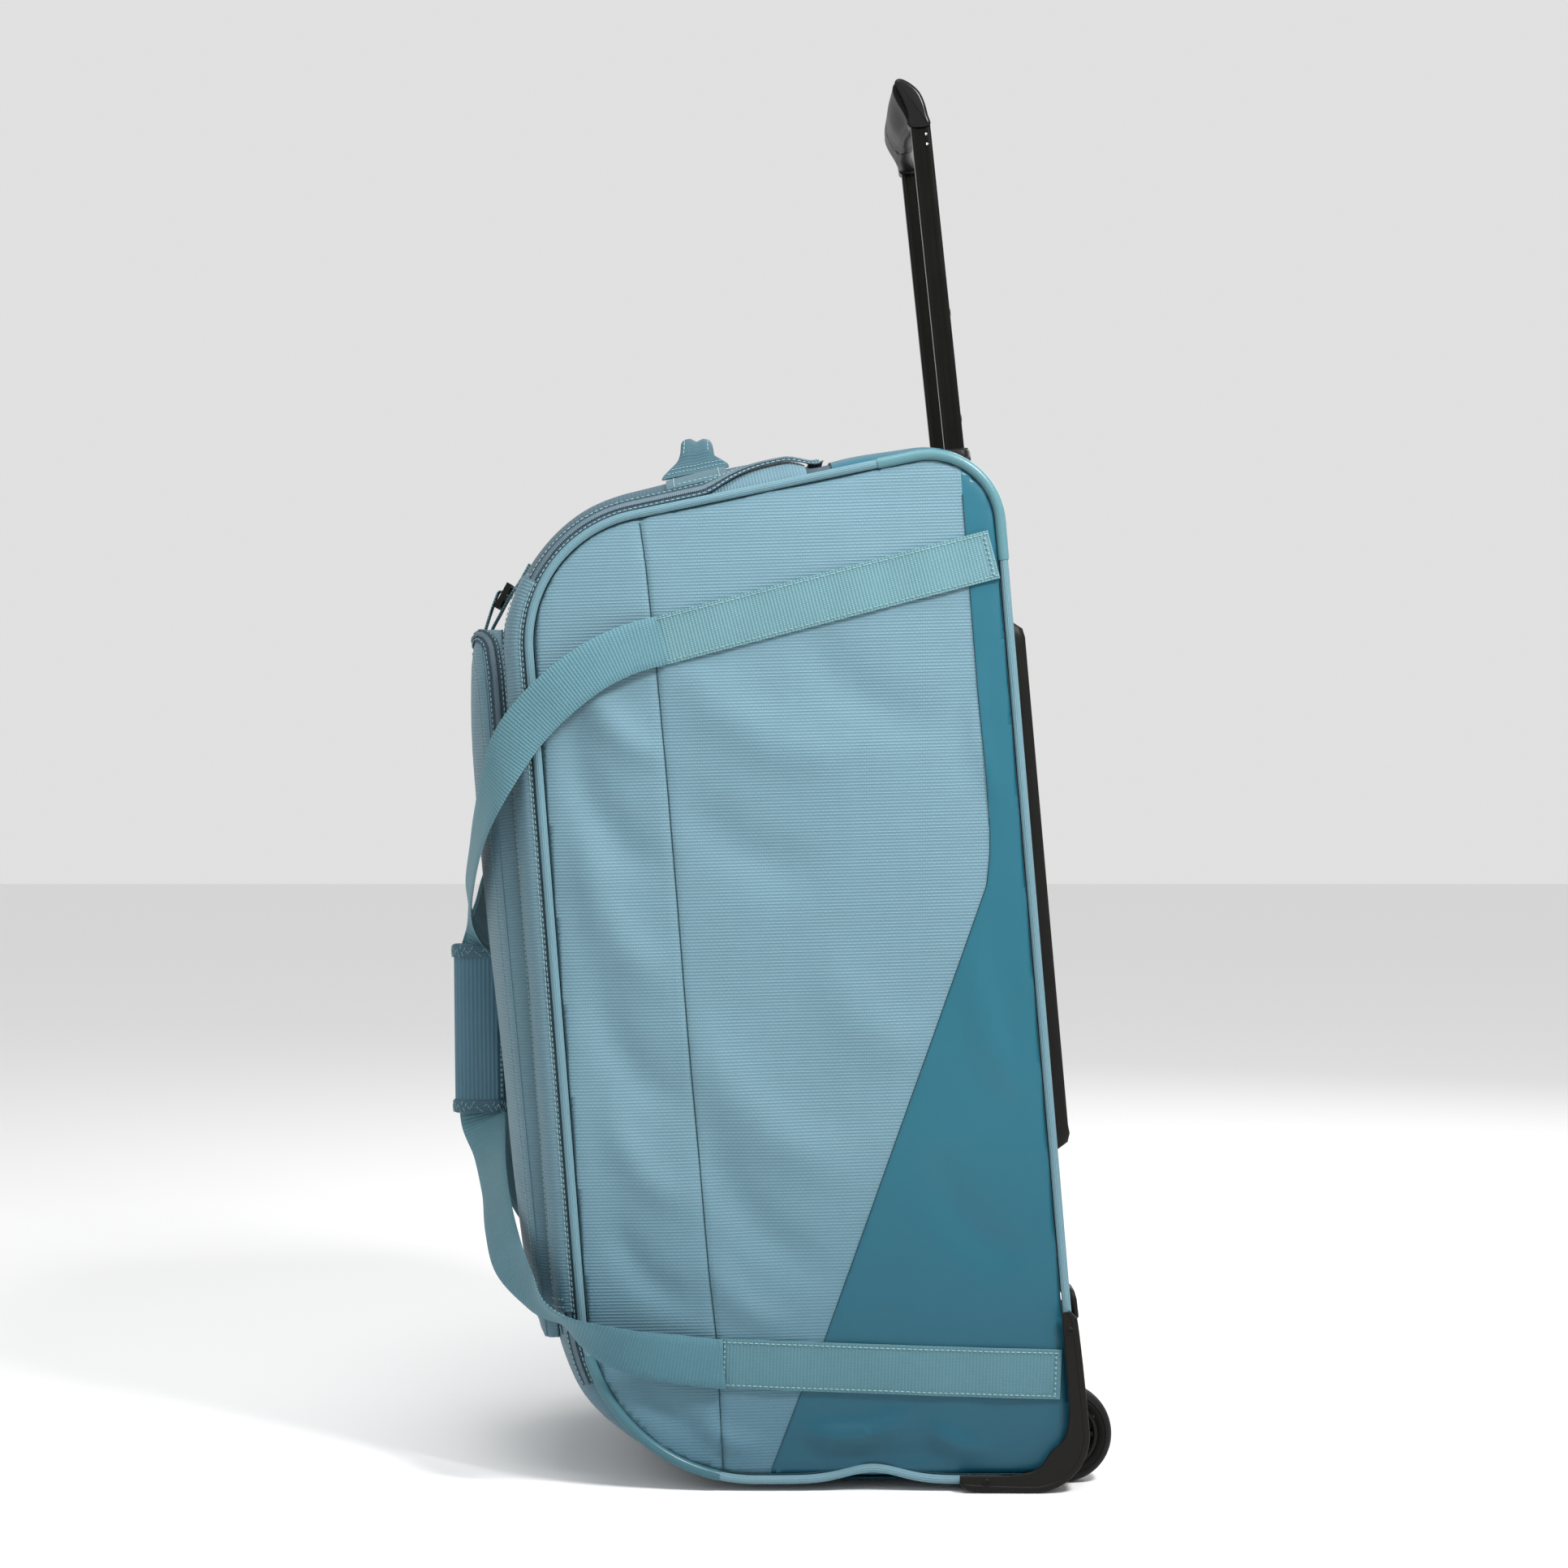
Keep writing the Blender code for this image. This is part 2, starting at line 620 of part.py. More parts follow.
def trolley():
    size_x, size_y = TUBE_SIZE
    for name, y in (("left", -TUBE_Y), ("right", TUBE_Y)):
        tube("inner_tube_" + name, "tube", y, *INNER_TUBE_REACH, TUBE_SIZE, TUBE_WALL)
        wall = 0.0018
        outer_size = (size_x + 2 * wall + 0.001, size_y + 2 * wall + 0.001)
        tube("outer_tube_" + name, "steel", y, -OUTER_TUBE_LENGTH, -0.048, outer_size, wall)
    bar = [p for p in GRIP_EAR if p[0] >= GRIP_BAR_LOW]
    bar = [(GRIP_BAR_LOW, -0.0225)] + bar + [(GRIP_BAR_LOW, 0.0080)]
    grip = extrude_outline("grip", "plastic", grip_outline(bar), -0.092, 0.092)
    for way in (-1, 1):
        ear = extrude_outline("ear", "plastic", grip_outline(GRIP_EAR), way * 0.0865, way * HALF_GRIP)
        cut(grip, ear, "UNION")
        socket = cutter_along_tube(way * TUBE_Y, 0.20, INNER_TUBE_REACH[1] + GAP)
        cut(grip, socket)
    well = box_along_tube((-0.0125, 0.0045), 0.024, 0.268, 0.31)
    cut(grip, well)
    grip.data.materials.clear()
    grip.data.materials.append(material("plastic"))
    button = box_along_tube((-0.0117, 0.0037), 0.0232, 0.2805, 0.2905)
    button.name = "handle_button"
    button.data.materials.clear()
    button.data.materials.append(material("rubber"))
    spring = cylinder("button_spring", "steel", tube_point(0.2744, -0.004, 0), AXIS, 0.0035, 0.0110,
                      sides=12, bore=0.0025)
    spring.data.shade_smooth()


def box_along_tube(dx_range, width, low, high):
    """A block on the trolley axis, width across the bag."""
    rings = []
    for reach in (low, high):
        rings.append([tube_point(reach, dx, dy) for dx, dy in (
            (dx_range[0], -width / 2), (dx_range[1], -width / 2),
            (dx_range[1], width / 2), (dx_range[0], width / 2))])
    return sweep("block", "plastic", rings)


def cutter_along_tube(y, low, high):
    """A tube-shaped cutter with clearance."""
    section = rounded_section(TUBE_SIZE[0] + 0.0006, TUBE_SIZE[1] + 0.0006, 0.003)
    return sweep("cutter", "plastic", [[tube_point(r, dx, y + dy) for dx, dy in section]
                                       for r in (low, high)])


def back_line(z, out=0.0):
    """X of the back skin at height z in the middle of the bag."""
    return 0.2285 - 0.0881 * (z - 0.139) + 0.0045 + out


def back_frame():
    """Board in front of the trolley tubes, their foot bracket and bezel, and the two skid rails."""
    board = box_along_tube((-0.0136, -0.0118), 0.320, -0.600, -0.075)
    board.name = "back_board"
    board.data.materials.clear()
    board.data.materials.append(material("board"))
    foot = [(dx, reach) for dx, reach in ((-0.016, -0.618), (0.0105, -0.618), (0.0105, -0.6005),
                                          (-0.016, -0.6005))]
    points = [(tube_point(reach, dx, 0).x, tube_point(reach, dx, 0).z) for dx, reach in foot]
    extrude_outline("tube_foot_bracket", "plastic", points, -0.115, 0.115)
    for name, way in (("left", -1), ("right", 1)):
        rail = [(back_line(0.253, 0.0008), 0.253), (back_line(0.258, 0.0085), 0.258),
                (back_line(0.266, 0.0115), 0.266), (back_line(0.655, 0.0115), 0.655),
                (back_line(0.667, 0.0085), 0.667), (back_line(0.676, 0.0008), 0.676)]
        made = extrude_outline("skid_rail_" + name, "plastic", rail, way * TUBE_Y - 0.011,
                               way * TUBE_Y + 0.011)
        bevel = made.modifiers.new("soft_edges", "BEVEL")
        bevel.width = 0.0012
        bevel.segments = 1
    bezel()


def bezel():
    """Plate on the top rear panel that the tubes leave through."""
    plate = box_along_tube((-0.0125, 0.0125), 0.236, 0.0012, 0.0062)
    plate.name = "handle_bezel"
    for way in (-1, 1):
        cut(plate, cutter_along_tube(way * TUBE_Y, -0.02, 0.04))
    return plate


# ---- undercarriage ----
def corner_guards():
    """Moulded guards round the lower back corner, an L section swept along the outline."""
    start, end = OUTLINE.find(0.143, 0.009) - OUTLINE.total, OUTLINE.find(0.2280, 0.139)
    steps = 16
    for name, way in (("left", -1), ("right", 1)):
        sections = []
        for i in range(steps + 1):
            share = i / steps
            point, normal = OUTLINE.at(start + (end - start) * share)
            ends = math.sin(math.pi * share) ** 0.5
            bend = math.sin(math.pi * min(1.2 * share, 1.0)) ** 8
            outer, inner = 0.0060 + 0.0030 * ends, -0.0045 - 0.0120 * bend
            corners = [(inner, 0.1990), (outer, 0.1990), (outer, 0.1745), (0.0008, 0.1745),
                       (0.0008, 0.1958), (inner, 0.1958)]
            sections.append([Vector((point.x + normal.x * out, way * y, point.y + normal.y * out))
                             for out, y in corners])
        sweep("corner_guard_" + name, "plastic", sections)


def base():
    """Moulded tray round the lower back edge, board inside the base and two front feet."""
    start, end = OUTLINE.find(0.153, 0.009) - OUTLINE.total, OUTLINE.find(0.2280, 0.1395)
    outer, inner = [], []
    steps = 14
    for i in range(steps + 1):
        point, normal = OUTLINE.at(start + (end - start) * i / steps)
        for grid, lift in ((outer, 0.0), (inner, -0.0025)):
            place = point + normal * lift
            grid.append([Vector((place.x, y, place.y)) for y in (-0.1855, 0.1855)])
    tray = grid_solid("base_tray", "plastic", outer, inner)
    for way in (-1, 1):
        y = way * WHEEL_CENTRE.y
        well = box("cutter", "plastic", (0.168, y - 0.0185, -0.02), (0.30, y + 0.0185, 0.098))
        cut(tray, well)
    tray.data.materials.clear()
    tray.data.materials.append(material("plastic"))
    box("base_board", "board", (-0.020, -0.165, 0.0160), (0.158, 0.165, 0.0188))
    for name, way in (("left", -1), ("right", 1)):
        foot = cylinder("front_foot_" + name, "rubber", (-0.022, way * 0.110, 0.0043), (0, 0, 1),
                        0.014, 0.0086, sides=24)
        foot.data.shade_smooth()
        foot.data.set_sharp_from_angle(angle=math.radians(40))


def wheel_housing(name, y):
    """Arch and two cheeks that carry an axle, open to the back and the floor."""
    centre_x, centre_z = WHEEL_CENTRE.x, WHEEL_CENTRE.z
    inner, outer = WHEEL_RADIUS + 0.003, WHEEL_RADIUS + 0.0055
    low, high = math.radians(78), math.radians(205)
    steps = 12
    arch = []
    for radius, order in ((outer, range(steps + 1)), (inner, range(steps, -1, -1))):
        for i in order:
            turn = low + (high - low) * i / steps
            arch.append((centre_x + radius * math.cos(turn), centre_z + radius * math.sin(turn)))
    made = extrude_outline("wheel_housing_" + name, "plastic", arch, y - 0.0180, y + 0.0180)
    cheek = [(centre_x + outer * math.cos(low + (high - low) * i / steps),
              centre_z + outer * math.sin(low + (high - low) * i / steps)) for i in range(steps + 1)]
    cheek += [(centre_x - 0.010, centre_z - 0.012), (centre_x + 0.0055, centre_z - 0.012),
              (centre_x + 0.0085, centre_z + 0.010)]
    for way in (-1, 1):
        side = extrude_outline("cheek", "plastic", cheek, y + way * 0.0151, y + way * 0.0180)
        cut(made, side, "UNION")
    hole = cylinder("cutter", "plastic", (centre_x, y, centre_z), (0, 1, 0),
                    AXLE_RADIUS + AXLE_CLEARANCE, 0.06, sides=32)
    cut(made, hole)
    made.data.materials.clear()
    made.data.materials.append(material("plastic"))


def wheels():
    for name, way in (("left", -1), ("right", 1)):
        centre = WHEEL_CENTRE * Vector((1, way, 1))
        wheel_housing(name, centre.y)
        cylinder("axle_" + name, "steel", centre, (0, 1, 0), AXLE_RADIUS, 0.0355, sides=32)
        hub_radius = 0.027
        hub = cylinder("wheel_hub_" + name, "plastic", centre, (0, 1, 0), hub_radius, 0.022,
                       sides=32, bore=AXLE_RADIUS + AXLE_CLEARANCE)
        set_origin(hub, centre)
        profile = [(hub_radius + 0.0002, -0.011), (0.033, -0.012), (0.0365, -0.0095), (0.038, -0.005),
                   (0.038, 0.005), (0.0365, 0.0095), (0.033, 0.012), (hub_radius + 0.0002, 0.011)]
        sections = []
        sides = 32
        for k in range(sides):
            turn = 2 * math.pi * k / sides
            sections.append([centre + Vector((r * math.cos(turn), d, r * math.sin(turn)))
                             for r, d in profile])
        tyre = sweep("tyre_" + name, "rubber", sections, closed=True)
        set_origin(tyre, centre)


# ---- handles and hardware ----
HAUL_S = OUTLINE.find(-0.057, 0.7637)
HAUL_PIVOT = shell(HAUL_S, across_share(0.075), lift=0.004) * Vector((1, 0, 1))


def haul_handle():
    """Padded grip across the top, on two webbing legs sewn to base patches."""
    path = [(-0.075, 0.004), (-0.066, 0.0120), (-0.054, 0.0175), (-0.030, 0.0200), (0.0, 0.0205),
            (0.030, 0.0200), (0.054, 0.0175), (0.066, 0.0120), (0.075, 0.004)]
    sections = []
    for i, (y, height) in enumerate(path):
        fat = 0.0055 if 1 < i < 7 else 0.0016
        wide = 0.0125
        a, b = path[max(i - 1, 0)], path[min(i + 1, 8)]
        along = Vector((0, b[0] - a[0], b[1] - a[1])).normalized()
        up = Vector((0, -along.z, along.y))
        centre = HAUL_PIVOT + Vector((0, y, height))
        ring = []
        for k in range(8):
            turn = 2 * math.pi * (k + 0.5) / 8
            ring.append(centre + Vector((1, 0, 0)) * wide * math.cos(turn) + up * fat * math.sin(turn))
        sections.append(ring)
    handle = sweep("haul_handle", "webbing", sections)
    set_origin(handle, HAUL_PIVOT)
    for name, way in (("left", -1), ("right", 1)):
        path = [(HAUL_S, way * (0.072 + 0.082 * i / 6)) for i in range(7)]
        ribbon("haul_patch_" + name, "webbing", surface_rows(path, 0.048, 0.0006), WEBBING)


def closure():
    """Short strap and ladder lock between the lid's shoulder and the pocket."""
    places = [(-0.2085, 0.7225), (-0.2125, 0.7120), (-0.2200, 0.6980), (-0.2270, 0.6850),
              (-0.2330, 0.6740)]
    rows = []
    for i, place in enumerate(places):
        a, b = Vector(places[max(i - 1, 0)]), Vector(places[min(i + 1, 4)])
        along = (b - a).normalized()
        normal = Vector((along.y, 0, -along.x))
        centre = Vector((place[0], 0, place[1]))
        rows.append((centre - Vector((0, 0.010, 0)), centre + Vector((0, 0.010, 0)), normal))
    ribbon("closure_strap", "webbing", rows, 0.0016)
    tilt = (Vector(places[3]) - Vector(places[1])).normalized()
    out = Vector((tilt.y, -tilt.x))
    middle = Vector(places[2]) + out * 0.0050
    corners = [middle + tilt * u * 0.0115 + out * w for u, w in (
        (-1, -0.0022), (1, -0.0022), (1, 0.0022), (-1, 0.0022))]
    lock = extrude_outline("ladder_lock", "plastic", corners, -0.014, 0.014)
    for shift in (-0.0062, 0.0062):
        hole = [middle + tilt * (shift + u * 0.0030) + out * w for u, w in (
            (-1, -0.01), (1, -0.01), (1, 0.01), (-1, 0.01))]
        cut(lock, extrude_outline("cutter", "plastic", hole, -0.0105, 0.0105))
    lock.data.materials.clear()
    lock.data.materials.append(material("plastic"))


def zip_slider(name, s, y, lift, hinge_way):
    """A slider with a lug, and a forked pull tab hinged on the lug; the tab's origin is on its hinge."""
    point = shell(s, 0.0, lift=lift)
    normal = Vector((OUTLINE.at(s)[1].x, 0, OUTLINE.at(s)[1].y))
    run = Vector((0, hinge_way, 0))
    side = normal.cross(run)
    centre = Vector((point.x, y, point.z))

    def plate(outline, low, high):
        return [[centre + side * a + run * d + normal * h for a, d in outline] for h in (low, high)]

    def rectangle(half_width, near, far):
        return [(-half_width, near), (half_width, near), (half_width, far), (-half_width, far)]

    body = rectangle(0.0045, -0.006, 0.006)
    slider = sweep("zip_slider_" + name, "zip", plate(body, 0.0, SLIDER_TOP))
    lug = sweep("lug", "zip", plate(rectangle(0.0010, 0.0033, 0.0057), 0.002, 0.0064))
    cut(slider, lug, "UNION")
    fork = [(-0.0035, 0.0035), (-0.0035, PULL_END), (0.0035, PULL_END), (0.0035, 0.0035),
            (0.0014, 0.0035), (0.0014, 0.0075), (-0.0014, 0.0075), (-0.0014, 0.0035)]
    tab = sweep("zip_pull_" + name, "zip", plate(fork, PULL_HINGE[1] - 0.0008, PULL_HINGE[1] + 0.0008))
    set_origin(tab, centre + run * PULL_HINGE[0] + normal * PULL_HINGE[1])


def zip_hardware():
    zip_slider("main_left", ZIP_RUN, 0.050, 0.0062, -1)
    zip_slider("main_right", ZIP_RUN, 0.090, 0.0062, 1)
    pocket_s = OUTLINE.find(-0.1885, 0.664) + 0.008
    zip_slider("pocket", pocket_s, 0.060, POCKET_DEPTH_TOP + 0.0040, 1)


def build():
    for old in list(bpy.data.objects):
        bpy.data.objects.remove(old)
    side_panels()
    wrap_panel("lid_panel", "ripstop", LID_START, LID_END, 30)
    top = wrap_panel("top_panel", "coated", TOP_START, TOP_END, 7)
    for way in (-1, 1):
        cut(top, cutter_along_tube(way * TUBE_Y, -0.05, 0.05))
    wrap_panel("back_panel", "ripstop", BACK_START, TOP_START - GAP, 10)
    wrap_panel("bottom_panel", "coated", BOTTOM_START - OUTLINE.total, BOTTOM_END - OUTLINE.total, 5)
    piping()
    front_pocket()
    main_zip()
    pocket_zip()
    webbing()
    grip_wrap()
    trolley()
    back_frame()
    corner_guards()
    base()
    wheels()
    haul_handle()
    closure()
    zip_hardware()


build()
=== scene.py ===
"""Looks of the rolling duffel bag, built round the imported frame.

Metres, +Z up, +X to the trolley side, Y across the bag, "left" is -Y. The skin follows the same outline and
crown as the CAD model; every fabric mesh carries a UV map in metres, which its weave is drawn on.
"""

import math

import bmesh
import bpy
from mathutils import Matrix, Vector, noise
from mathutils.kdtree import KDTree


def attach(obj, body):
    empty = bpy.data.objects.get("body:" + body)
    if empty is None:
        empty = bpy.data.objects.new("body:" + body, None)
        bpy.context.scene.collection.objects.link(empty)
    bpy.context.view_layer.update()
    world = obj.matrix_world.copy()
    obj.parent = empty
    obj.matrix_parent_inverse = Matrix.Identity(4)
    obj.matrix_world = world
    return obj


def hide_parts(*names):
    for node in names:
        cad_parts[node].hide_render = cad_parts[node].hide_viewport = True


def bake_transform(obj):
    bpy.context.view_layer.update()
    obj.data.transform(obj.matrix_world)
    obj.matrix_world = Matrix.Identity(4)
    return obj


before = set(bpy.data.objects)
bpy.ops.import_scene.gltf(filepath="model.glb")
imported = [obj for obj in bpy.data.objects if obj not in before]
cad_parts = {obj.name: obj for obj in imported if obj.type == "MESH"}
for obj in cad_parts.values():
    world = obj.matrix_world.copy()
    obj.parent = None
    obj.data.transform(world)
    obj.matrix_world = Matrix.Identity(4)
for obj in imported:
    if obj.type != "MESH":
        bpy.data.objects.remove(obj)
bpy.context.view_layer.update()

# ---- dimensions shared with the CAD model ----
HALF_WIDTH = 0.1855
SECTION_POWER = 2.4
SIDE_DOME = 0.008
SIDE_FACE = 0.1895
PIPING_RADIUS = 0.0035
PIPING_Y = 0.1892
WEBBING_WIDTH = 0.038
POCKET_DEPTH_TOP = 0.022
POCKET_DEPTH_BOTTOM = 0.012
POCKET_HALF_WIDTH = 0.158
TUBE_Y = 0.100
TUBE_TILT = math.radians(6.0)
TUBE_EXIT = Vector((0.143, 0.0, 0.816))
WHEEL_RADIUS = 0.038
WHEEL_CENTRE = Vector((0.2255, 0.150, WHEEL_RADIUS))
ARC_STEP = 0.004
FINE = 0.0055                # edge length of the fabric meshes
SIDES = (("left", -1), ("right", 1))

CORNERS = [
    (0.2365, 0.009, 0.035),
    (0.1690, 0.8105, 0.055),
    (-0.1957, 0.7343, 0.100),
    (-0.1385, 0.009, 0.135),
]
CROWN = [
    ((0.100, 0.009), 0.000),
    ((-0.045, 0.011), 0.000),
    ((-0.085, 0.030), 0.014),
    ((-0.140, 0.085), 0.030),
    ((-0.152, 0.180), 0.034),
    ((-0.175, 0.480), 0.034),
    ((-0.186, 0.640), 0.032),
    ((-0.178, 0.712), 0.026),
    ((-0.131, 0.748), 0.028),
    ((-0.030, 0.770), 0.032),
    ((0.010, 0.778), 0.031),
    ((0.034, 0.784), 0.017),
    ((0.060, 0.789), 0.018),
    ((0.130, 0.800), 0.014),
    ((0.172, 0.760), 0.006),
    ((0.180, 0.690), 0.004),
    ((0.232, 0.100), 0.003),
    ((0.232, 0.016), 0.000),
]

CLOTH = 0.0012               # thickness of a fabric sheet
RIPPLE = 0.0006              # height of the ripples in the skin
SKIN_CELLS = 72              # cells across the skin
INSIDE_BAG = Vector((-0.10, 0, 0.40))

# ---- seams, folds and sewn straps ----
SEAM = [(-0.1060, 0.790), (-0.1035, 0.746), (-0.0985, 0.711), (-0.0925, 0.655), (-0.0835, 0.561),
        (-0.0745, 0.455), (-0.0665, 0.355), (-0.0575, 0.255), (-0.0505, 0.174), (-0.0445, 0.121),
        (-0.0385, 0.005)]
COATED_EDGE = [(0.1425, 0.800), (0.1435, 0.786), (0.1505, 0.696), (0.1565, 0.617), (0.1625, 0.555),
               (0.1660, 0.511), (0.1660, 0.492), (0.1635, 0.467), (0.0385, 0.117), (0.0195, 0.074),
               (-0.0065, 0.005)]
FOLD_DEPTH = 2.6
# soft folds as (start, end, height, half width); a negative height is a hollow
FOLDS = [
    ((-0.150, 0.640), (-0.090, 0.560), 0.0022, 0.013),
    ((-0.165, 0.600), (-0.088, 0.470), -0.0020, 0.016),
    ((-0.150, 0.520), (-0.080, 0.380), 0.0022, 0.018),
    ((-0.140, 0.400), (-0.072, 0.290), -0.0020, 0.016),
    ((-0.130, 0.300), (-0.065, 0.215), 0.0020, 0.014),
    ((-0.128, 0.215), (-0.062, 0.140), -0.0018, 0.012),
    ((-0.080, 0.640), (0.060, 0.560), 0.0018, 0.022),
    ((-0.078, 0.545), (0.040, 0.470), -0.0016, 0.020),
    ((0.020, 0.660), (0.130, 0.585), -0.0014, 0.020),
    ((-0.070, 0.370), (0.060, 0.240), 0.0022, 0.022),
    ((-0.060, 0.290), (0.045, 0.160), -0.0020, 0.017),
    ((-0.052, 0.180), (0.010, 0.125), 0.0018, 0.012),
    ((0.030, 0.420), (0.120, 0.330), 0.0014, 0.024),
    ((0.155, 0.430), (0.195, 0.300), 0.0014, 0.014),
    ((0.120, 0.260), (0.190, 0.175), -0.0014, 0.016),
    ((0.158, 0.640), (0.183, 0.520), 0.0011, 0.009),
    ((0.020, 0.046), (0.105, 0.058), 0.0030, 0.008),
    ((0.050, 0.030), (0.135, 0.034), -0.0026, 0.007),
    ((-0.060, 0.060), (-0.010, 0.030), 0.0022, 0.009),
    ((0.120, 0.050), (0.165, 0.030), 0.0022, 0.008),
    ((-0.110, 0.100), (-0.060, 0.045), -0.0020, 0.010),
]
UPPER_SEWN = ((-0.0915, 0.6540), (0.1690, 0.7220))
LOWER_SEWN = ((-0.0420, 0.1000), (0.2205, 0.0905))
STRAP = 0.0018

# ---- zips and pocket ----
ZIP_TURN = 0.024             # radius of the zip's corner
POCKET_PUFF = 0.0075
# the pocket's wall and rounded edge as (share of the depth, distance in from the rim)
POCKET_LEVELS = [(0.02, 0.0), (0.18, 0.0002), (0.36, 0.0004), (0.54, 0.0008), (0.70, 0.0014),
                 (0.82, 0.0026), (0.92, 0.0044), (0.98, 0.0070), (1.00, 0.0100)]
POCKET_RINGS = 16
WALL_MIDDLE = 2.4
FACE_EDGE = 7.0

# ---- carry loops and wrap ----
# middle line of the left carry loop as (x, y, z) and the direction its width lies in
LOOP_UPPER = [
    ((-0.0860, -0.2010, 0.6554), (-0.26, 0.00, 0.97)),
    ((-0.1130, -0.2040, 0.6475), (-0.32, 0.00, 0.95)),
    ((-0.1390, -0.2065, 0.6345), (-0.43, 0.00, 0.90)),
    ((-0.1640, -0.2060, 0.6160), (-0.55, 0.00, 0.83)),
    ((-0.1850, -0.2015, 0.5960), (-0.62, 0.10, 0.78)),
    ((-0.2020, -0.1960, 0.5740), (-0.62, 0.25, 0.74)),
    ((-0.2170, -0.1860, 0.5450), (-0.50, 0.55, 0.67)),
    ((-0.2300, -0.1660, 0.5130), (-0.30, 0.78, 0.55)),
    ((-0.2390, -0.1330, 0.4830), (-0.16, 0.72, 0.67)),
    ((-0.2465, -0.0850, 0.4530), (-0.16, 0.60, 0.78)),
    ((-0.2460, -0.0380, 0.4310), (-0.30, 0.50, 0.80)),
    ((-0.2440, -0.0130, 0.4170), (-0.62, 0.45, 0.60)),
    ((-0.2430, -0.0040, 0.3980), (-1.00, 0.10, 0.05)),
]
LOOP_LOWER = [
    ((-0.2425, -0.0040, 0.2880), (-1.00, 0.02, -0.05)),
    ((-0.2415, -0.0090, 0.2700), (-0.95, 0.15, -0.20)),
    ((-0.2345, -0.0300, 0.2520), (-0.72, 0.38, -0.58)),
    ((-0.2270, -0.0750, 0.2280), (-0.55, 0.60, -0.58)),
    ((-0.2200, -0.1150, 0.2010), (-0.60, 0.60, -0.53)),
    ((-0.2090, -0.1500, 0.1750), (-0.62, 0.62, -0.48)),
    ((-0.1900, -0.1780, 0.1530), (-0.35, 0.80, -0.48)),
    ((-0.1680, -0.2050, 0.1370), (0.10, 0.90, -0.40)),
    ((-0.1390, -0.2130, 0.1210), (0.10, 0.62, -0.78)),
    ((-0.1080, -0.2105, 0.1100), (-0.05, 0.35, -0.93)),
    ((-0.0770, -0.2055, 0.1045), (0.00, 0.08, -1.00)),
    ((-0.0452, -0.2020, 0.1003), (0.00, 0.00, -1.00)),
    ((-0.0390, -0.2010, 0.1000), (0.00, 0.00, -1.00)),
]
# where each left loop starts to follow the wrap, and where it follows it fully
UPPER_BLEND = ((-0.0968, -0.2014, 0.6527), (-0.2350, -0.1660, 0.5130))
LOWER_BLEND = ((-0.0452, -0.2005, 0.1005), (-0.2200, -0.1150, 0.2010))
WRAP_LOW, WRAP_HIGH = 0.2735, 0.4125
WRAP_X = -0.2430
WRAP_HALF = (0.0205, 0.0120)
WRAP_BAND = 0.011

# ---- haul handle and closure strap ----
# half of the haul handle: distance from the middle, half width, half thickness, height over the pivot
HAUL_KEYS = [(0.0860, 0.0270, 0.0009, -0.0024), (0.0830, 0.0262, 0.0010, 0.0005),
             (0.0800, 0.0215, 0.0014, 0.0050), (0.0765, 0.0150, 0.0024, 0.0105),
             (0.0725, 0.0128, 0.0042, 0.0160), (0.0640, 0.0125, 0.0056, 0.0215),
             (0.0400, 0.0125, 0.0060, 0.0245), (0.0000, 0.0125, 0.0060, 0.0252)]
CLOSURE_RUN = [(-0.2025, 0, 0.7270), (-0.2068, 0, 0.7190), (-0.2118, 0, 0.7105), (-0.2200, 0, 0.6980),
               (-0.2270, 0, 0.6850), (-0.2330, 0, 0.6740), (-0.2345, 0, 0.6690)]
CLOSURE_TAIL = [(-0.2215, 0, 0.7000), (-0.2275, 0, 0.7040), (-0.2315, 0, 0.6960), (-0.2360, 0, 0.6830),
                (-0.2400, 0, 0.6700)]

# ---- trolley handle ----
TUBE_SIZE = (0.016, 0.012)
INNER_REACH = (-0.30, 0.257)
LOCK_HOLES = (0.020, 0.105)
LOCK_HOLE_PROFILE = ((0.0, 0.0033), (0.0003, 0.0033), (0.0003, 0.0026), (-0.0004, 0.0024), (-0.0004, 0.0002))
# side outlines of the grip as (reach, distance behind the tubes' axis)
GRIP_EAR = [(0.2540, -0.0086), (0.2640, -0.0094), (0.2720, -0.0112), (0.2790, -0.0136), (0.2845, -0.0158),
            (0.2890, -0.0172), (0.2922, -0.0164), (0.2934, -0.0130), (0.2912, -0.0079), (0.2860, -0.0018),
            (0.2800, 0.0024), (0.2720, 0.0050), (0.2630, 0.0064), (0.2540, 0.0070)]
GRIP_END = [(0.2560, -0.0088), (0.2620, -0.0105), (0.2690, -0.0132), (0.2760, -0.0165), (0.2830, -0.0188),
            (0.2890, -0.0186), (0.2926, -0.0150), (0.2915, -0.0085), (0.2880, -0.0030), (0.2820, 0.0015),
            (0.2740, 0.0038), (0.2650, 0.0050), (0.2560, 0.0050)]
GRIP_BAR = [(0.2560, -0.0125), (0.2610, -0.0165), (0.2680, -0.0200), (0.2760, -0.0216), (0.2840, -0.0212),
            (0.2900, -0.0188), (0.2925, -0.0140), (0.2915, -0.0080), (0.2880, -0.0020), (0.2810, 0.0025),
            (0.2730, 0.0036), (0.2640, 0.0020), (0.2570, -0.0040)]
BUTTON_WELL = [(0.2560, -0.0125), (0.2610, -0.0165), (0.2680, -0.0200), (0.2760, -0.0216), (0.2840, -0.0212),
               (0.2895, -0.0188), (0.2910, -0.0155), (0.2895, -0.0122), (0.2800, -0.0119), (0.2690, -0.0119),
               (0.2662, -0.0100), (0.2662, 0.0020), (0.2690, 0.0041), (0.2800, 0.0041), (0.2852, 0.0042),
               (0.2858, 0.0049), (0.2790, 0.0056), (0.2640, 0.0046), (0.2570, -0.0040)]
GRIP_HALF = 0.1085
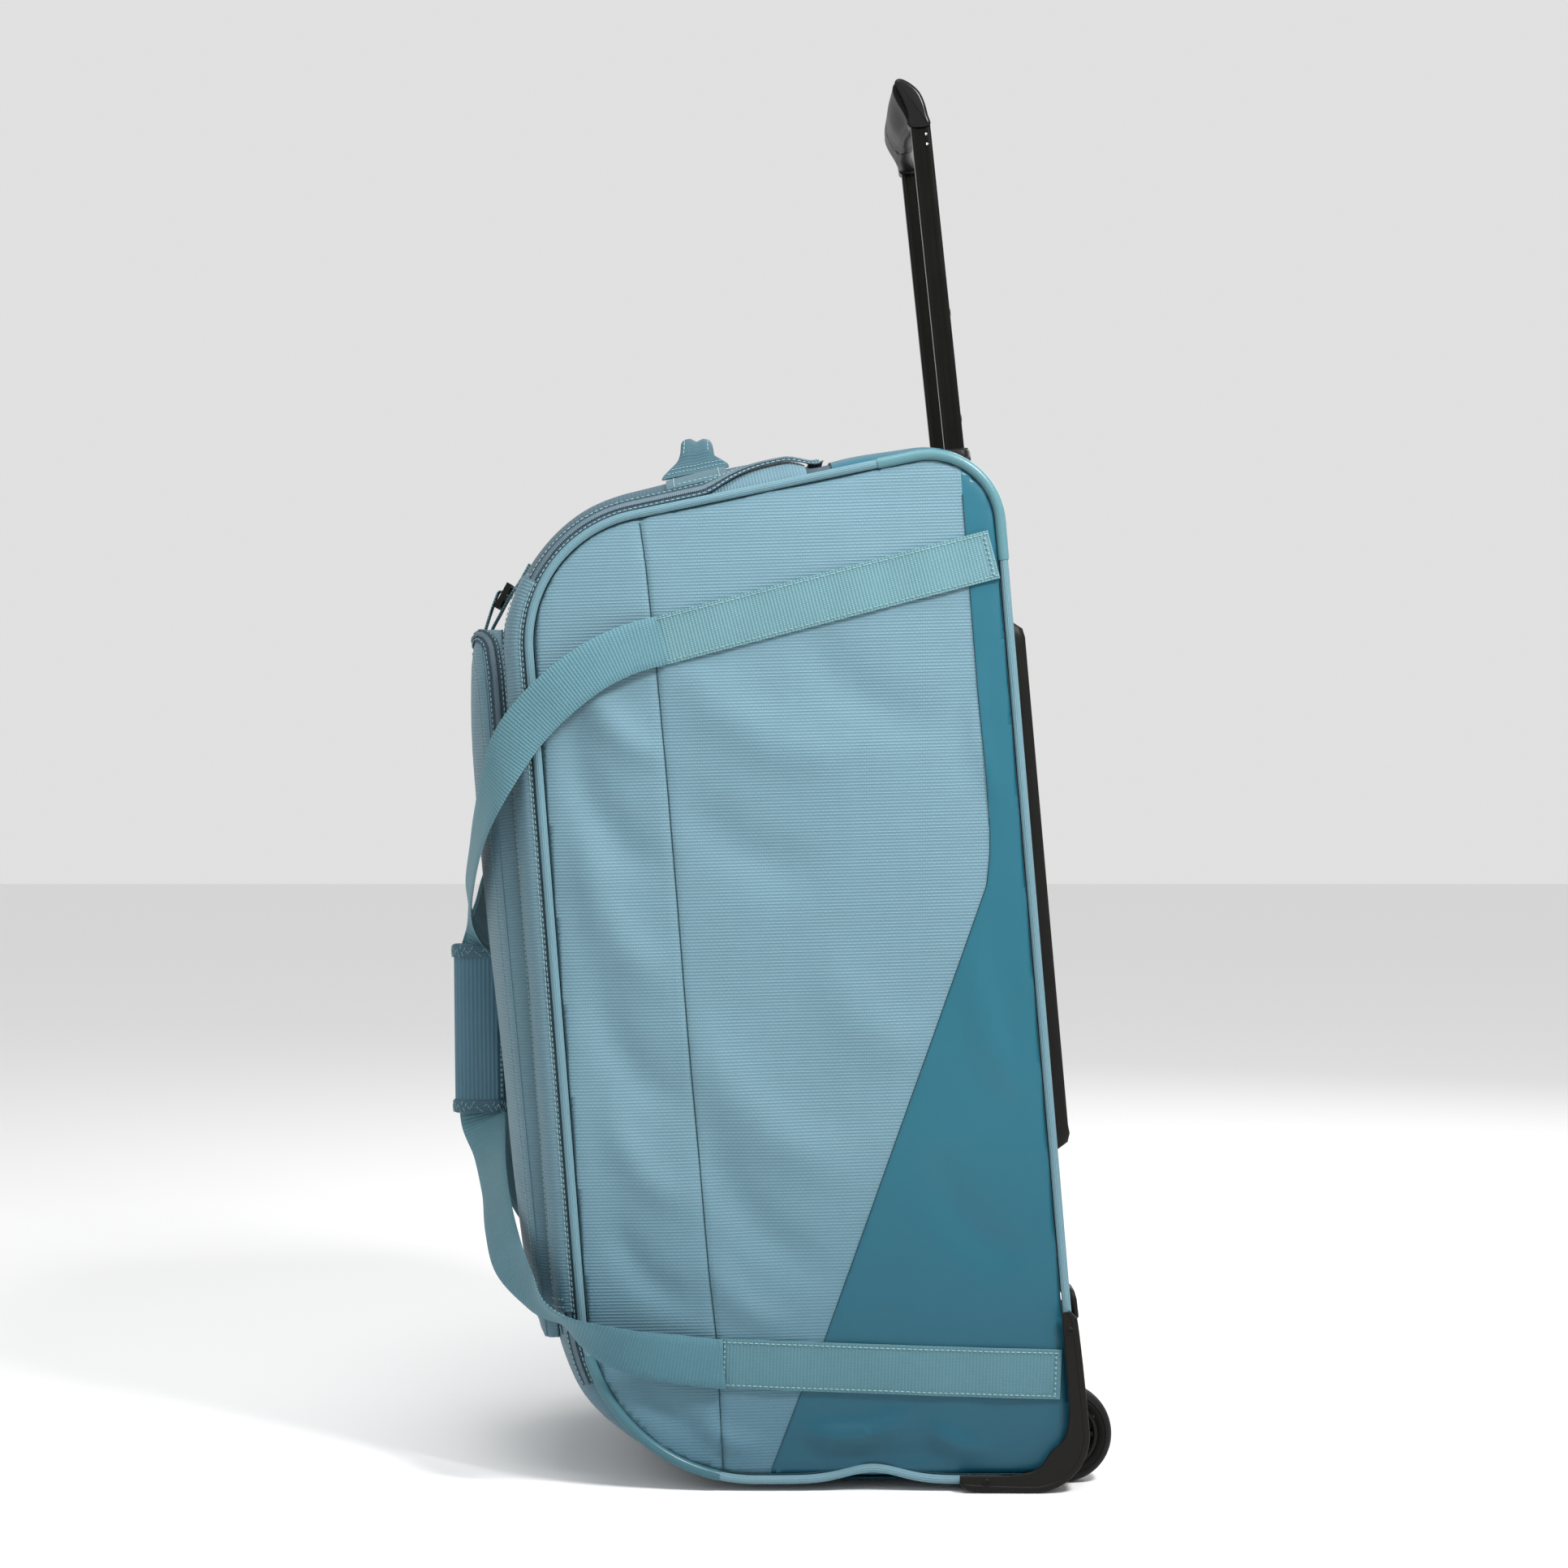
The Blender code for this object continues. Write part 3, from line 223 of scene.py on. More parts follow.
RIVET_REACHES = (0.2395, 0.2475)
SCREW_PROFILE = ((-0.0010, 1.0), (0.0003, 1.0), (0.0008, 0.85), (0.0010, 0.55), (0.0003, 0.45), (0.0002, 0.1))
# outline of the release button, and the one of a bar on it
BUTTON_CAP = [(0.2848, -0.0109), (0.2848, -0.004), (0.2848, 0.0031), (0.2880, 0.0031),
              (0.2902, 0.0022), (0.2908, -0.0040), (0.2902, -0.0098), (0.2880, -0.0109)]
BUTTON_BAR = [(0.2900, -0.0090), (0.2900, 0.0012), (0.2913, 0.0006), (0.2916, -0.0040), (0.2913, -0.0084)]
# the bezel's edge as (reach, distance in from its outline)
BEZEL_LEVELS = ((-0.0125, 0.0), (-0.0075, 0.0), (-0.0062, 0.0006), (-0.0056, 0.0018), (-0.0056, 0.0040))

# ---- rails, guards and wheels ----
RAIL_LOW, RAIL_HIGH = 0.253, 0.676
# section of a skid rail as shares of its half width and its height
RAIL_SECTION = [(-1.0, 0.0), (-1.0, 0.62), (-0.90, 0.86), (-0.72, 1.0), (-0.50, 1.0), (-0.44, 0.84),
                (-0.36, 0.84), (-0.30, 1.0), (0.30, 1.0), (0.36, 0.84), (0.44, 0.84), (0.50, 1.0),
                (0.72, 1.0), (0.90, 0.86), (1.0, 0.62), (1.0, 0.0)]
# half sections of the wheel as (radius, distance from its middle plane)
TYRE_HALF = [(0.0285, -0.0112), (0.0310, -0.0120), (0.0318, -0.0114), (0.0330, -0.0120), (0.0350, -0.0114),
             (0.0366, -0.0096), (0.0376, -0.0070), (0.0378, -0.0042), (0.0372, -0.0038), (0.0372, -0.0030),
             (0.0379, -0.0026)]
HUB_RIM = [(0.0228, -0.0100), (0.0240, -0.0112), (0.0262, -0.0112), (0.0270, -0.0100),
           (0.0270, 0.0100), (0.0262, 0.0112), (0.0240, 0.0112), (0.0228, 0.0100)]
HUB_BOSS = [(0.0042, -0.0116), (0.0078, -0.0116), (0.0088, -0.0104), (0.0088, 0.0104), (0.0078, 0.0116),
            (0.0042, 0.0116)]
HUB_DISC = [(0.0080, -0.0040), (0.0235, -0.0040), (0.0235, 0.0040), (0.0080, 0.0040)]
# a spoke as (radius, half width, half depth), and its section as shares of the two
SPOKE_LEVELS = ((0.0080, 0.0026, 0.0100), (0.0150, 0.0018, 0.0088), (0.0232, 0.0022, 0.0098))
SPOKE_SECTION = ((-1, -0.9), (-0.6, -1), (0.6, -1), (1, -0.9), (1, 0.9), (0.6, 1), (-0.6, 1), (-1, 0.9))

# ---- colours ----
TEAL = (0.118, 0.216, 0.264)
COATED_TEAL = (0.013, 0.096, 0.136)
WEBBING_TEAL = (0.107, 0.220, 0.250)
SLATE = (0.030, 0.063, 0.093)
ROW_PITCH = 0.0025           # distance between the heavy yarns of the ripstop
SHADE_BELOW = 1 / 3.6         # height under which fabric colours are darkened with painted shade
CAD_MATERIALS = {
    "axle": "steel", "button_spring": "steel", "outer_tube": "outer_tube", "inner_tube": "tube",
    "back_board": "board", "base_board": "board", "front_foot": "rubber", "handle_button": "soft_grip",
    "zip_slider": "zip_metal", "zip_pull": "zip_metal", "base_tray": "plastic",
    "wheel_housing": "plastic", "skid_rail": "plastic", "handle_bezel": "plastic",
    "tube_foot_bracket": "plastic", "ladder_lock": "plastic",
}

# ---- light and camera ----
# name, place, aim, size and power of each lamp
LIGHTS = [
    ("key", (0.95, -1.20, 1.85), (0.0, 0.0, 0.60), (0.40, 0.40), 50.0),
    ("top", (-0.3, -0.6, 2.1), (0.0, 0.0, 0.60), (1.0, 0.8), 16.0),
    ("fill", (-1.8, -2.2, 1.2), (0.0, 0.0, 0.55), (1.4, 1.4), 5.0),
    ("back", (1.2, 2.4, 1.8), (0.0, 0.0, 0.45), (1.8, 1.4), 16.0),
]
WORLD_LIGHT = 0.75
CAMERA_PLACE = (0.0075, -2.69, 0.545)
CAMERA_LENS = 74.5


# ---- outline and shape of the bag ----
def smooth(share):
    """Ease from 0 to 1."""
    share = min(max(share, 0.0), 1.0)
    return share * share * (3 - 2 * share)


def signed_power(value, power):
    """A power that keeps the sign, which squares off a circle when it is below 1."""
    return math.copysign(abs(value) ** power, value)


def distances(points, closed=False):
    """Distance along a polyline at each of its points, and at its start again if it is closed."""
    made = [0.0]
    for a, b in zip(points, points[1:] + points[:1] if closed else points[1:]):
        made.append(made[-1] + (b - a).length)
    return made


def tangent(path, i, closed=False):
    """Unit direction of a path at point i."""
    if closed:
        return (path[(i + 1) % len(path)] - path[i - 1]).normalized()
    return (path[min(i + 1, len(path) - 1)] - path[max(i - 1, 0)]).normalized()


class Outline:
    """A closed outline of straight runs and corner arcs, addressed by distance along it."""

    def __init__(self, corners):
        self.points = []
        count = len(corners)
        for i, (x, z, radius) in enumerate(corners):
            corner = Vector((x, z))
            before = (Vector(corners[i - 1][:2]) - corner).normalized()
            after = (Vector(corners[(i + 1) % count][:2]) - corner).normalized()
            half = before.angle(after) / 2
            centre = corner + (before + after).normalized() * radius / math.sin(half)
            arm = corner + before * radius / math.tan(half) - centre
            turn = math.pi - 2 * half
            steps = max(3, round(turn * radius / ARC_STEP))
            for k in range(steps + 1):
                angle = turn * k / steps
                self.points.append(centre + Vector((
                    arm.x * math.cos(angle) - arm.y * math.sin(angle),
                    arm.x * math.sin(angle) + arm.y * math.cos(angle),
                )))
        self.lengths = distances(self.points, closed=True)
        self.total = self.lengths[-1]

    def at(self, s):
        """Point (x, z) and outward normal at distance s."""
        s %= self.total
        low, high = 0, len(self.points)
        while high - low > 1:
            middle = (low + high) // 2
            if self.lengths[middle] <= s:
                low = middle
            else:
                high = middle
        a, b = self.points[low], self.points[(low + 1) % len(self.points)]
        share = (s - self.lengths[low]) / (self.lengths[low + 1] - self.lengths[low])
        return a.lerp(b, share), self.normal(low).lerp(self.normal(low + 1), share).normalized()

    def normal(self, i):
        """Outward normal at point i, the mean of its two runs."""
        count = len(self.points)
        along = self.points[(i + 1) % count] - self.points[(i - 1) % count]
        return Vector((along.y, -along.x)).normalized()

    def find(self, x, z):
        """Distance along the outline of the place nearest to (x, z)."""
        spots = [self.total * k / 1500 for k in range(1500)]
        return min(spots, key=lambda s: (self.at(s)[0] - Vector((x, z))).length)


OUTLINE = Outline(CORNERS)
CROWN_KEYS = sorted((OUTLINE.find(*place), depth) for place, depth in CROWN)
CROWN_KEYS = ([(CROWN_KEYS[-1][0] - OUTLINE.total, CROWN_KEYS[-1][1])] + CROWN_KEYS
              + [(CROWN_KEYS[0][0] + OUTLINE.total, CROWN_KEYS[0][1])])


def crown(s):
    """Crown depth at distance s along the outline."""
    s %= OUTLINE.total
    for (s0, d0), (s1, d1) in zip(CROWN_KEYS, CROWN_KEYS[1:]):
        if s0 <= s <= s1:
            return d0 + (d1 - d0) * smooth((s - s0) / (s1 - s0))
    return 0.0


def shell(s, v, lift=0.0, inset=0.0):
    """Point of the wrap-round skin: s along the outline, v from -1 to 1 across the bag."""
    point, normal = OUTLINE.at(s)
    angle = v * math.pi / 2
    across = signed_power(math.sin(angle), 2 / SECTION_POWER)
    rise = max(math.cos(angle), 0.0) ** (2 / SECTION_POWER)
    depth = crown(s) * rise + lift
    return Vector((point.x + normal.x * depth, across * (HALF_WIDTH - inset), point.y + normal.y * depth))


def across_share(y):
    """The v of shell() that lies at y."""
    ratio = min(abs(y) / HALF_WIDTH, 1.0)
    return math.copysign(math.asin(ratio ** (SECTION_POWER / 2)) * 2 / math.pi, y)


def shell_normal(s, v, lift=0.0):
    """Unit normal of the skin, pointing out."""
    step = 0.002
    run = shell(s + step, v, lift) - shell(s - step, v, lift)
    side = shell(s, min(v + step, 1), lift) - shell(s, max(v - step, -1), lift)
    return side.cross(run).normalized()


def side_swell(x, z):
    """How far a side panel stands out at (x, z)."""
    top = 0.7905 + 0.2 * (x - 0.0355)
    front = -0.1475 - 0.079 * (z - 0.124)
    back = 0.2285 - 0.0881 * (z - 0.139)
    a = (2 * x - front - back) / (back - front)
    b = (2 * z - top - 0.009) / (top - 0.009)
    return SIDE_DOME * max(1 - abs(a) ** 3, 0) * max(1 - abs(b) ** 5, 0)


# ---- materials ----
class Graph:
    """Small helper that adds nodes to a material and links them."""

    def __init__(self, name):
        self.material = bpy.data.materials.new(name)
        self.material.use_nodes = True
        self.nodes = self.material.node_tree.nodes
        self.shader = self.nodes["Principled BSDF"]

    def link(self, source, target):
        """Join two sockets."""
        self.material.node_tree.links.new(source, target)

    def feed(self, value, socket):
        """Link a socket, or set a plain value."""
        if isinstance(value, bpy.types.NodeSocket):
            self.link(value, socket)
        else:
            socket.default_value = value

    def math(self, operation, a, b=0.0, c=0.0):
        """One step of arithmetic on sockets or plain numbers."""
        node = self.nodes.new("ShaderNodeMath")
        node.operation = operation
        for value, socket in zip((a, b, c), node.inputs):
            self.feed(value, socket)
        return node.outputs[0]

    def uv(self):
        """The UV map in metres, as two sockets: along and across."""
        node = self.nodes.new("ShaderNodeUVMap")
        split = self.nodes.new("ShaderNodeSeparateXYZ")
        self.link(node.outputs[0], split.inputs[0])
        return split.outputs[0], split.outputs[1]

    def wave(self, value, pitch, power=1.0):
        """0 to 1 wave along a coordinate, narrower as power grows."""
        turn = self.math("MULTIPLY", value, 2 * math.pi / pitch)
        height = self.math("MULTIPLY_ADD", self.math("SINE", turn), 0.5, 0.5)
        return self.math("POWER", height, power)

    def noise(self, scale, detail=3.0):
        """Soft noise in the object's own space."""
        where = self.nodes.new("ShaderNodeTexCoord")
        node = self.nodes.new("ShaderNodeTexNoise")
        node.inputs["Scale"].default_value = scale
        node.inputs["Detail"].default_value = detail
        self.link(where.outputs["Object"], node.inputs["Vector"])
        return node.outputs["Fac"]

    def mix(self, share, a, b):
        """Colour mix of a and b."""
        node = self.nodes.new("ShaderNodeMix")
        node.data_type = "RGBA"
        self.feed(share, node.inputs[0])
        for value, socket in ((a, node.inputs[6]), (b, node.inputs[7])):
            self.feed((*value, 1.0) if isinstance(value, tuple) else value, socket)
        return node.outputs[2]

    def bump(self, height, distance, strength=1.0):
        """Raise the surface by a height socket."""
        node = self.nodes.new("ShaderNodeBump")
        node.inputs["Strength"].default_value = strength
        node.inputs["Distance"].default_value = distance
        self.link(height, node.inputs["Height"])
        self.link(node.outputs[0], self.shader.inputs["Normal"])

    def shade_towards_floor(self, lit, colour):
        """A fabric colour darkened and dulled towards the floor: painted shade for the lower parts, which get
        less light.
        """
        where = self.nodes.new("ShaderNodeTexCoord")
        split = self.nodes.new("ShaderNodeSeparateXYZ")
        self.link(where.outputs["Object"], split.inputs[0])
        # painted shade: near the floor the colour falls to 42, 56 and 62 per cent of its red, green and blue
        share = self.math("MINIMUM", self.math("DIVIDE", split.outputs[2], SHADE_BELOW), 1.0)
        red, green, blue = colour
        return self.mix(share, (red * 0.42, green * 0.56, blue * 0.62), lit)

    def finish(self, colour, roughness, metallic=0.0, sheen=0.0, coat=0.0, specular=0.25):
        """Set the shader's values and give the material."""
        self.feed((*colour, 1.0) if isinstance(colour, tuple) else colour, self.shader.inputs["Base Color"])
        self.feed(roughness, self.shader.inputs["Roughness"])
        self.shader.inputs["Metallic"].default_value = metallic
        self.shader.inputs["Specular IOR Level"].default_value = specular
        self.shader.inputs["Sheen Weight"].default_value = sheen
        self.shader.inputs["Sheen Roughness"].default_value = 0.4
        self.shader.inputs["Coat Weight"].default_value = coat
        return self.material


def scaled(colour, factor):
    """A colour made lighter or darker."""
    return tuple(min(c * factor, 1.0) for c in colour)


def ripstop(name, colour):
    """Ripstop: fine plain weave with heavier yarns in dashed rows."""
    g = Graph(name)
    along, across = g.uv()
    rows = g.wave(across, ROW_PITCH, 2.0)
    row = g.math("ROUND", g.math("DIVIDE", g.math("SUBTRACT", across, ROW_PITCH / 4), ROW_PITCH))
    dashes = g.wave(g.math("MULTIPLY_ADD", row, 0.0019, along), 0.0038, 1.2)
    yarn = g.math("MULTIPLY", rows, g.math("MULTIPLY_ADD", dashes, 0.40, 0.60))
    weave = g.math("MULTIPLY", g.wave(along, 0.0012), g.wave(across, 0.0012))
    height = g.math("MULTIPLY_ADD", weave, 0.35, yarn)
    patchy = g.noise(9.0)
    base = g.mix(patchy, scaled(colour, 0.78), scaled(colour, 0.94))
    lit = g.mix(g.math("MULTIPLY", yarn, 0.32), base, scaled(colour, 1.75))
    g.bump(height, 0.00032)
    return g.finish(g.shade_towards_floor(lit, colour), g.math("MULTIPLY_ADD", yarn, -0.12, 0.62), sheen=0.08)


def webbing(name, colour, rib=0.0026, contrast=0.50):
    """Woven webbing: ribs across the strap broken by the warp yarns."""
    g = Graph(name)
    along, across = g.uv()
    ribs = g.wave(along, rib, 1.0)
    warp = g.wave(across, 0.0016, 1.0)
    height = g.math("MULTIPLY", ribs, g.math("MULTIPLY_ADD", warp, 0.7, 0.3))
    patchy = g.noise(30.0)
    base = g.mix(patchy, scaled(colour, 0.74), scaled(colour, 0.86))
    lit = g.mix(g.math("MULTIPLY", height, contrast), base, scaled(colour, 1.7))
    g.bump(height, 0.00045)
    return g.finish(g.shade_towards_floor(lit, colour), 0.66, sheen=0.10)


def ribbed(name, colour, pitch=0.0022, roughness=0.45):
    """Satin fabric with fine cords along one direction."""
    g = Graph(name)
    along, across = g.uv()
    cords = g.wave(across, pitch, 1.0)
    fine = g.wave(along, 0.0014, 1.0)
    base = g.mix(g.noise(14.0), scaled(colour, 0.88), scaled(colour, 1.08))
    lit = g.mix(g.math("MULTIPLY", cords, 0.30), base, scaled(colour, 1.6))
    g.bump(g.math("MULTIPLY_ADD", fine, 0.25, cords), 0.00030)
    return g.finish(lit, roughness, specular=0.18)


def coated(name, colour, roughness=0.40):
    """Smooth coated fabric: satin film over a barely visible weave."""
    g = Graph(name)
    base = g.mix(g.noise(7.0), scaled(colour, 0.92), scaled(colour, 1.06))
    g.bump(g.noise(900.0, 2.0), 0.00012, 0.6)
    rubbed = g.math("MULTIPLY_ADD", g.noise(60.0), 0.12, roughness - 0.06)
    return g.finish(g.shade_towards_floor(base, colour), rubbed, coat=0.03)


def moulded(name, colour, roughness, grain=1400.0, bump=0.00008, metallic=0.0, coat=0.0):
    """Moulded plastic, rubber or metal with a fine grain and rubbed patches."""
    g = Graph(name)
    worn = g.noise(35.0, 4.0)
    base = g.mix(worn, scaled(colour, 0.85), scaled(colour, 1.25))
    g.bump(g.noise(grain, 2.0), bump, 0.7)
    return g.finish(base, g.math("MULTIPLY_ADD", worn, 0.14, roughness - 0.07), metallic,
                    coat=coat, specular=0.12)


MATERIALS = {
    "ripstop": ripstop("ripstop", TEAL),
    # painted shade: the gusset is the side ripstop darkened to 0.84, for the front faces turned from the
    # light
    "gusset": ripstop("gusset_ripstop_shaded", scaled(TEAL, 0.84)),
    "satin": ribbed("satin_top", (0.024, 0.066, 0.092), 0.0030, 0.42),
    "coated": coated("coated_fabric", COATED_TEAL),
    "webbing": webbing("webbing", WEBBING_TEAL),
    # painted shade: the free loops are the straps' own webbing drawn darker, for their front faces turned
    # from the light
    "loop": webbing("loop_webbing_shaded", (0.086, 0.196, 0.234)),
    "haul": webbing("haul_webbing", (0.046, 0.108, 0.138)),
    "wrap": ribbed("wrap_fabric", (0.056, 0.122, 0.164), 0.0034, 0.50),
    "binding": webbing("wrap_binding", (0.048, 0.110, 0.145), 0.0018),
    "piping": ribbed("piping_fabric", (0.108, 0.198, 0.235), 0.0016, 0.6),
    "cover": coated("piping_cover", (0.075, 0.175, 0.200), 0.30),
    "zip": webbing("zip_tape", SLATE, 0.0012, 0.2),
    "coil": moulded("zip_coil", (0.080, 0.120, 0.145), 0.35),
    "stitch": moulded("stitching", (0.195, 0.315, 0.325), 0.7),
    "seam": moulded("seam_shadow", (0.018, 0.045, 0.058), 0.8),
    "plastic": moulded("moulded_black", (0.006, 0.006, 0.0055), 0.42),
    "guard": moulded("guard_black", (0.006, 0.0055, 0.005), 0.45, 900.0, 0.00010),
    "grip": moulded("grip_black", (0.007, 0.0065, 0.0065), 0.26, 2000.0, 0.00004, coat=0.04),
    "soft_grip": moulded("grip_soft", (0.007, 0.006, 0.007), 0.38, 1500.0, 0.00005),
    "tube": moulded("tube_black", (0.005, 0.005, 0.0045), 0.20, 2500.0, 0.00002, 0.35, 0.05),
    "outer_tube": moulded("tube_plain", (0.50, 0.50, 0.51), 0.35, 1800.0, 0.00003, 1.0),
    "rubber": moulded("rubber", (0.006, 0.006, 0.0057), 0.55, 700.0, 0.00012),
    "steel": moulded("zinc_steel", (0.55, 0.55, 0.56), 0.30, 1500.0, 0.00003, 1.0),
    "zip_metal": moulded("zip_metal", (0.035, 0.060, 0.075), 0.32, 1500.0, 0.00003, 0.5),
    "board": moulded("board_black", (0.06, 0.06, 0.06), 0.6),
}


def paint_cad_nodes():
    """Give each CAD node that stays in view its full material."""
    for name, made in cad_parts.items():
        for start, slot in CAD_MATERIALS.items():
            if name.startswith(start):
                made.data.materials.clear()
                made.data.materials.append(MATERIALS[slot])


# ---- building helpers ----
def piece(name, bm, materials, body="root", replaces=(), angle=50):
    """Turn a bmesh into a smooth-shaded piece that rides on a body."""
    bmesh.ops.recalc_face_normals(bm, faces=bm.faces)
    mesh = bpy.data.meshes.new(name)
    bm.to_mesh(mesh)
    bm.free()
    mesh.shade_smooth()
    mesh.set_sharp_from_angle(angle=math.radians(angle))
    for key in materials:
        mesh.materials.append(MATERIALS[key])
    made = bpy.data.objects.new(name, mesh)
    bpy.context.scene.collection.objects.link(made)
    if replaces:
        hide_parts(*replaces)
    if body:
        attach(made, body)
    return made


def add_face(bm, uv_layer, corners, uvs, index=0):
    """A face with a UV place for each corner."""
    face = bm.faces.new(corners)
    face.material_index = index
    for loop, place in zip(face.loops, uvs):
        loop[uv_layer].uv = place
    return face


def add_grid(bm, outer, inner, uvs, index=0, index_of=None):
    """A thin closed sheet between two grids; uvs holds a place in metres for each grid point."""
    layer = bm.loops.layers.uv.verify()
    top = [[bm.verts.new(p) for p in row] for row in outer]
    under = [[bm.verts.new(p) for p in row] for row in inner]
    rows, columns = len(outer), len(outer[0])
    for i in range(rows - 1):
        for j in range(columns - 1):
            cells = ((i, j), (i, j + 1), (i + 1, j + 1), (i + 1, j))
            where = [uvs[a][b] for a, b in cells]
            chosen = index_of(i, j) if index_of else index
            add_face(bm, layer, [top[a][b] for a, b in cells], where, chosen)
            add_face(bm, layer, [under[a][b] for a, b in reversed(cells)], where[::-1], chosen)
    edge = [(0, j) for j in range(columns)] + [(i, columns - 1) for i in range(1, rows)]
    edge += [(rows - 1, j) for j in range(columns - 2, -1, -1)] + [(i, 0) for i in range(rows - 2, 0, -1)]
    for (a, b), (c, d) in zip(edge, edge[1:] + edge[:1]):
        add_face(bm, layer, [top[a][b], top[c][d], under[c][d], under[a][b]],
                 [uvs[a][b], uvs[c][d], uvs[c][d], uvs[a][b]], index)


def add_tube(bm, path, rings, closed=False, index=0):
    """Rings of points along a path, with u along and v round it in metres."""
    layer = bm.loops.layers.uv.verify()
    loops = [[bm.verts.new(p) for p in ring] for ring in rings]
    size, count = len(rings[0]), len(rings)
    girth = distances(rings[0], closed=True)
    along = distances(path, closed=True)
    for i in range(count if closed else count - 1):
        n = (i + 1) % count
        for j in range(size):
            k = (j + 1) % size
            add_face(bm, layer, [loops[i][j], loops[i][k], loops[n][k], loops[n][j]],
                     [(along[i], girth[j]), (along[i], girth[j + 1]),
                      (along[i + 1], girth[j + 1]), (along[i + 1], girth[j])], index)
    if not closed:
        for ring in (loops[0], loops[-1]):
            add_face(bm, layer, ring, [(0, 0)] * size, index)


def add_ribbon(bm, rows, thickness, width, index=0, columns=4):
    """A soft-edged strip: each row is its left edge, right edge and outward normal."""
    layer = bm.loops.layers.uv.verify()
    along = distances([(left + right) / 2 for left, right, _ in rows])
    profile = [(j / columns, 1.0) for j in range(columns + 1)]
    profile[0], profile[-1] = (0.02, 0.85), (0.98, 0.85)
    profile = [(0.0, 0.5)] + profile + [(1.0, 0.5)]
    profile += [(0.98, 0.15)] + [(j / columns, 0.0) for j in range(columns - 1, 0, -1)] + [(0.02, 0.15)]
    loops = []
    for left, right, normal in rows:
        loops.append([bm.verts.new(left.lerp(right, a) + normal * thickness * h) for a, h in profile])
    size = len(profile)
    for i in range(len(rows) - 1):
        for j in range(size):
            k = (j + 1) % size
            add_face(bm, layer, [loops[i][j], loops[i][k], loops[i + 1][k], loops[i + 1][j]],
                     [(along[i], profile[j][0] * width), (along[i], profile[k][0] * width),
                      (along[i + 1], profile[k][0] * width), (along[i + 1], profile[j][0] * width)], index)
    for ring in (loops[0], loops[-1]):
        add_face(bm, layer, ring, [(0, 0)] * size, index)


def add_stitches(bm, path, normals, index=0, length=0.0030, gap=0.0012, size=0.00045):
    """Short rounded stitches along a path of points."""
    reach = distances(path)
    spots, i, want = [], 0, gap
    while want + length <= reach[-1]:
        while reach[i + 1] < want:
            i += 1
        run = path[i + 1] - path[i]
        spots.append((path[i] + run.normalized() * (want - reach[i]), run.normalized(), normals[i]))
        want += length + gap
    layer = bm.loops.layers.uv.verify()
    for place, along, normal in spots:
        side = along.cross(normal).normalized()
        rings = []
        for d, fat in ((0.0, 0.35), (0.25, 1.0), (0.75, 1.0), (1.0, 0.35)):
            centre = place + along * d * length + normal * size * 0.5
            ring = []
            for k in range(5):
                turn = 2 * math.pi * k / 5
                arm = side * math.cos(turn) + normal * math.sin(turn)
                ring.append(bm.verts.new(centre + arm * size * fat))
            rings.append(ring)
        for a, b in zip(rings, rings[1:]):
            for k in range(5):
                m = (k + 1) % 5
                add_face(bm, layer, [a[k], a[m], b[m], b[k]], [(0, 0)] * 4, index)
        add_face(bm, layer, rings[0], [(0, 0)] * 5, index)
        add_face(bm, layer, rings[-1], [(0, 0)] * 5, index)


def swept_ring(centre, along, out, width, height, sides):
    """An oval ring of points round a centre, its height along out and its width across the path."""
    side = along.cross(out).normalized()
    ring = []
    for k in range(sides):
        turn = 2 * math.pi * k / sides
        ring.append(centre + side * math.cos(turn) * width / 2 + out * math.sin(turn) * height / 2)
    return ring


def add_cord(bm, path, normals, width, height, sides, closed=False, index=0):
    """A cord of even section along a path, with its height along the normals."""
    rings = [swept_ring(p, tangent(path, i, closed), n, width, height, sides)
             for i, (p, n) in enumerate(zip(path, normals))]
    add_tube(bm, path, rings, closed, index)


def thicken(made):
    """Give an open fabric sheet its thickness, inwards."""
    cloth = made.modifiers.new("cloth", "SOLIDIFY")
    cloth.thickness = CLOTH
    cloth.offset = -1.0


def resampled(points, step):
    """The same polyline with points an equal step apart."""
    lengths = distances(points)
    count = max(2, round(lengths[-1] / step))
    made, k = [], 0
    for i in range(count + 1):
        want = lengths[-1] * i / count
        while k < len(points) - 2 and lengths[k + 1] < want:
            k += 1
        share = (want - lengths[k]) / max(lengths[k + 1] - lengths[k], 1e-9)
        made.append(points[k].lerp(points[k + 1], min(share, 1.0)))
    return made


def nearest_tree(points):
    """Tree that finds the nearest of some points."""
    tree = KDTree(len(points))
    for i, p in enumerate(points):
        tree.insert(p, i)
    tree.balance()
    return tree


# ---- side panels ----


def beside(line, x, z):
    """Signed sideways distance of (x, z) from an upright line, positive on its +X side."""
    best = None
    for (x0, z0), (x1, z1) in zip(line, line[1:]):
        run = Vector((x1 - x0, z1 - z0))
        share = min(max(Vector((x - x0, z - z0)).dot(run) / run.length_squared, 0.0), 1.0)
        gap = Vector((x - x0, z - z0)) - run * share
        if best is None or gap.length < abs(best):
            best = math.copysign(gap.length, -gap.x * run.y + gap.y * run.x)
    return best


def fold_height(x, z):
    """Sum of the soft folds at (x, z)."""
    height = 0.0
    for (x0, z0), (x1, z1), rise, half in FOLDS:
        run = Vector((x1 - x0, z1 - z0))
        place = Vector((x - x0, z - z0))
        share = place.dot(run) / run.length_squared
        if not -0.4 < share < 1.4:
            continue
        bow = 0.10 * run.length * math.sin(math.pi * min(max(share, 0), 1))
        off = (place.x * run.y - place.y * run.x) / run.length - bow
        fade = math.exp(-((share - 0.5) / 0.42) ** 4)
        height += FOLD_DEPTH * rise * fade * math.exp(-(off / half) ** 2)
    return height


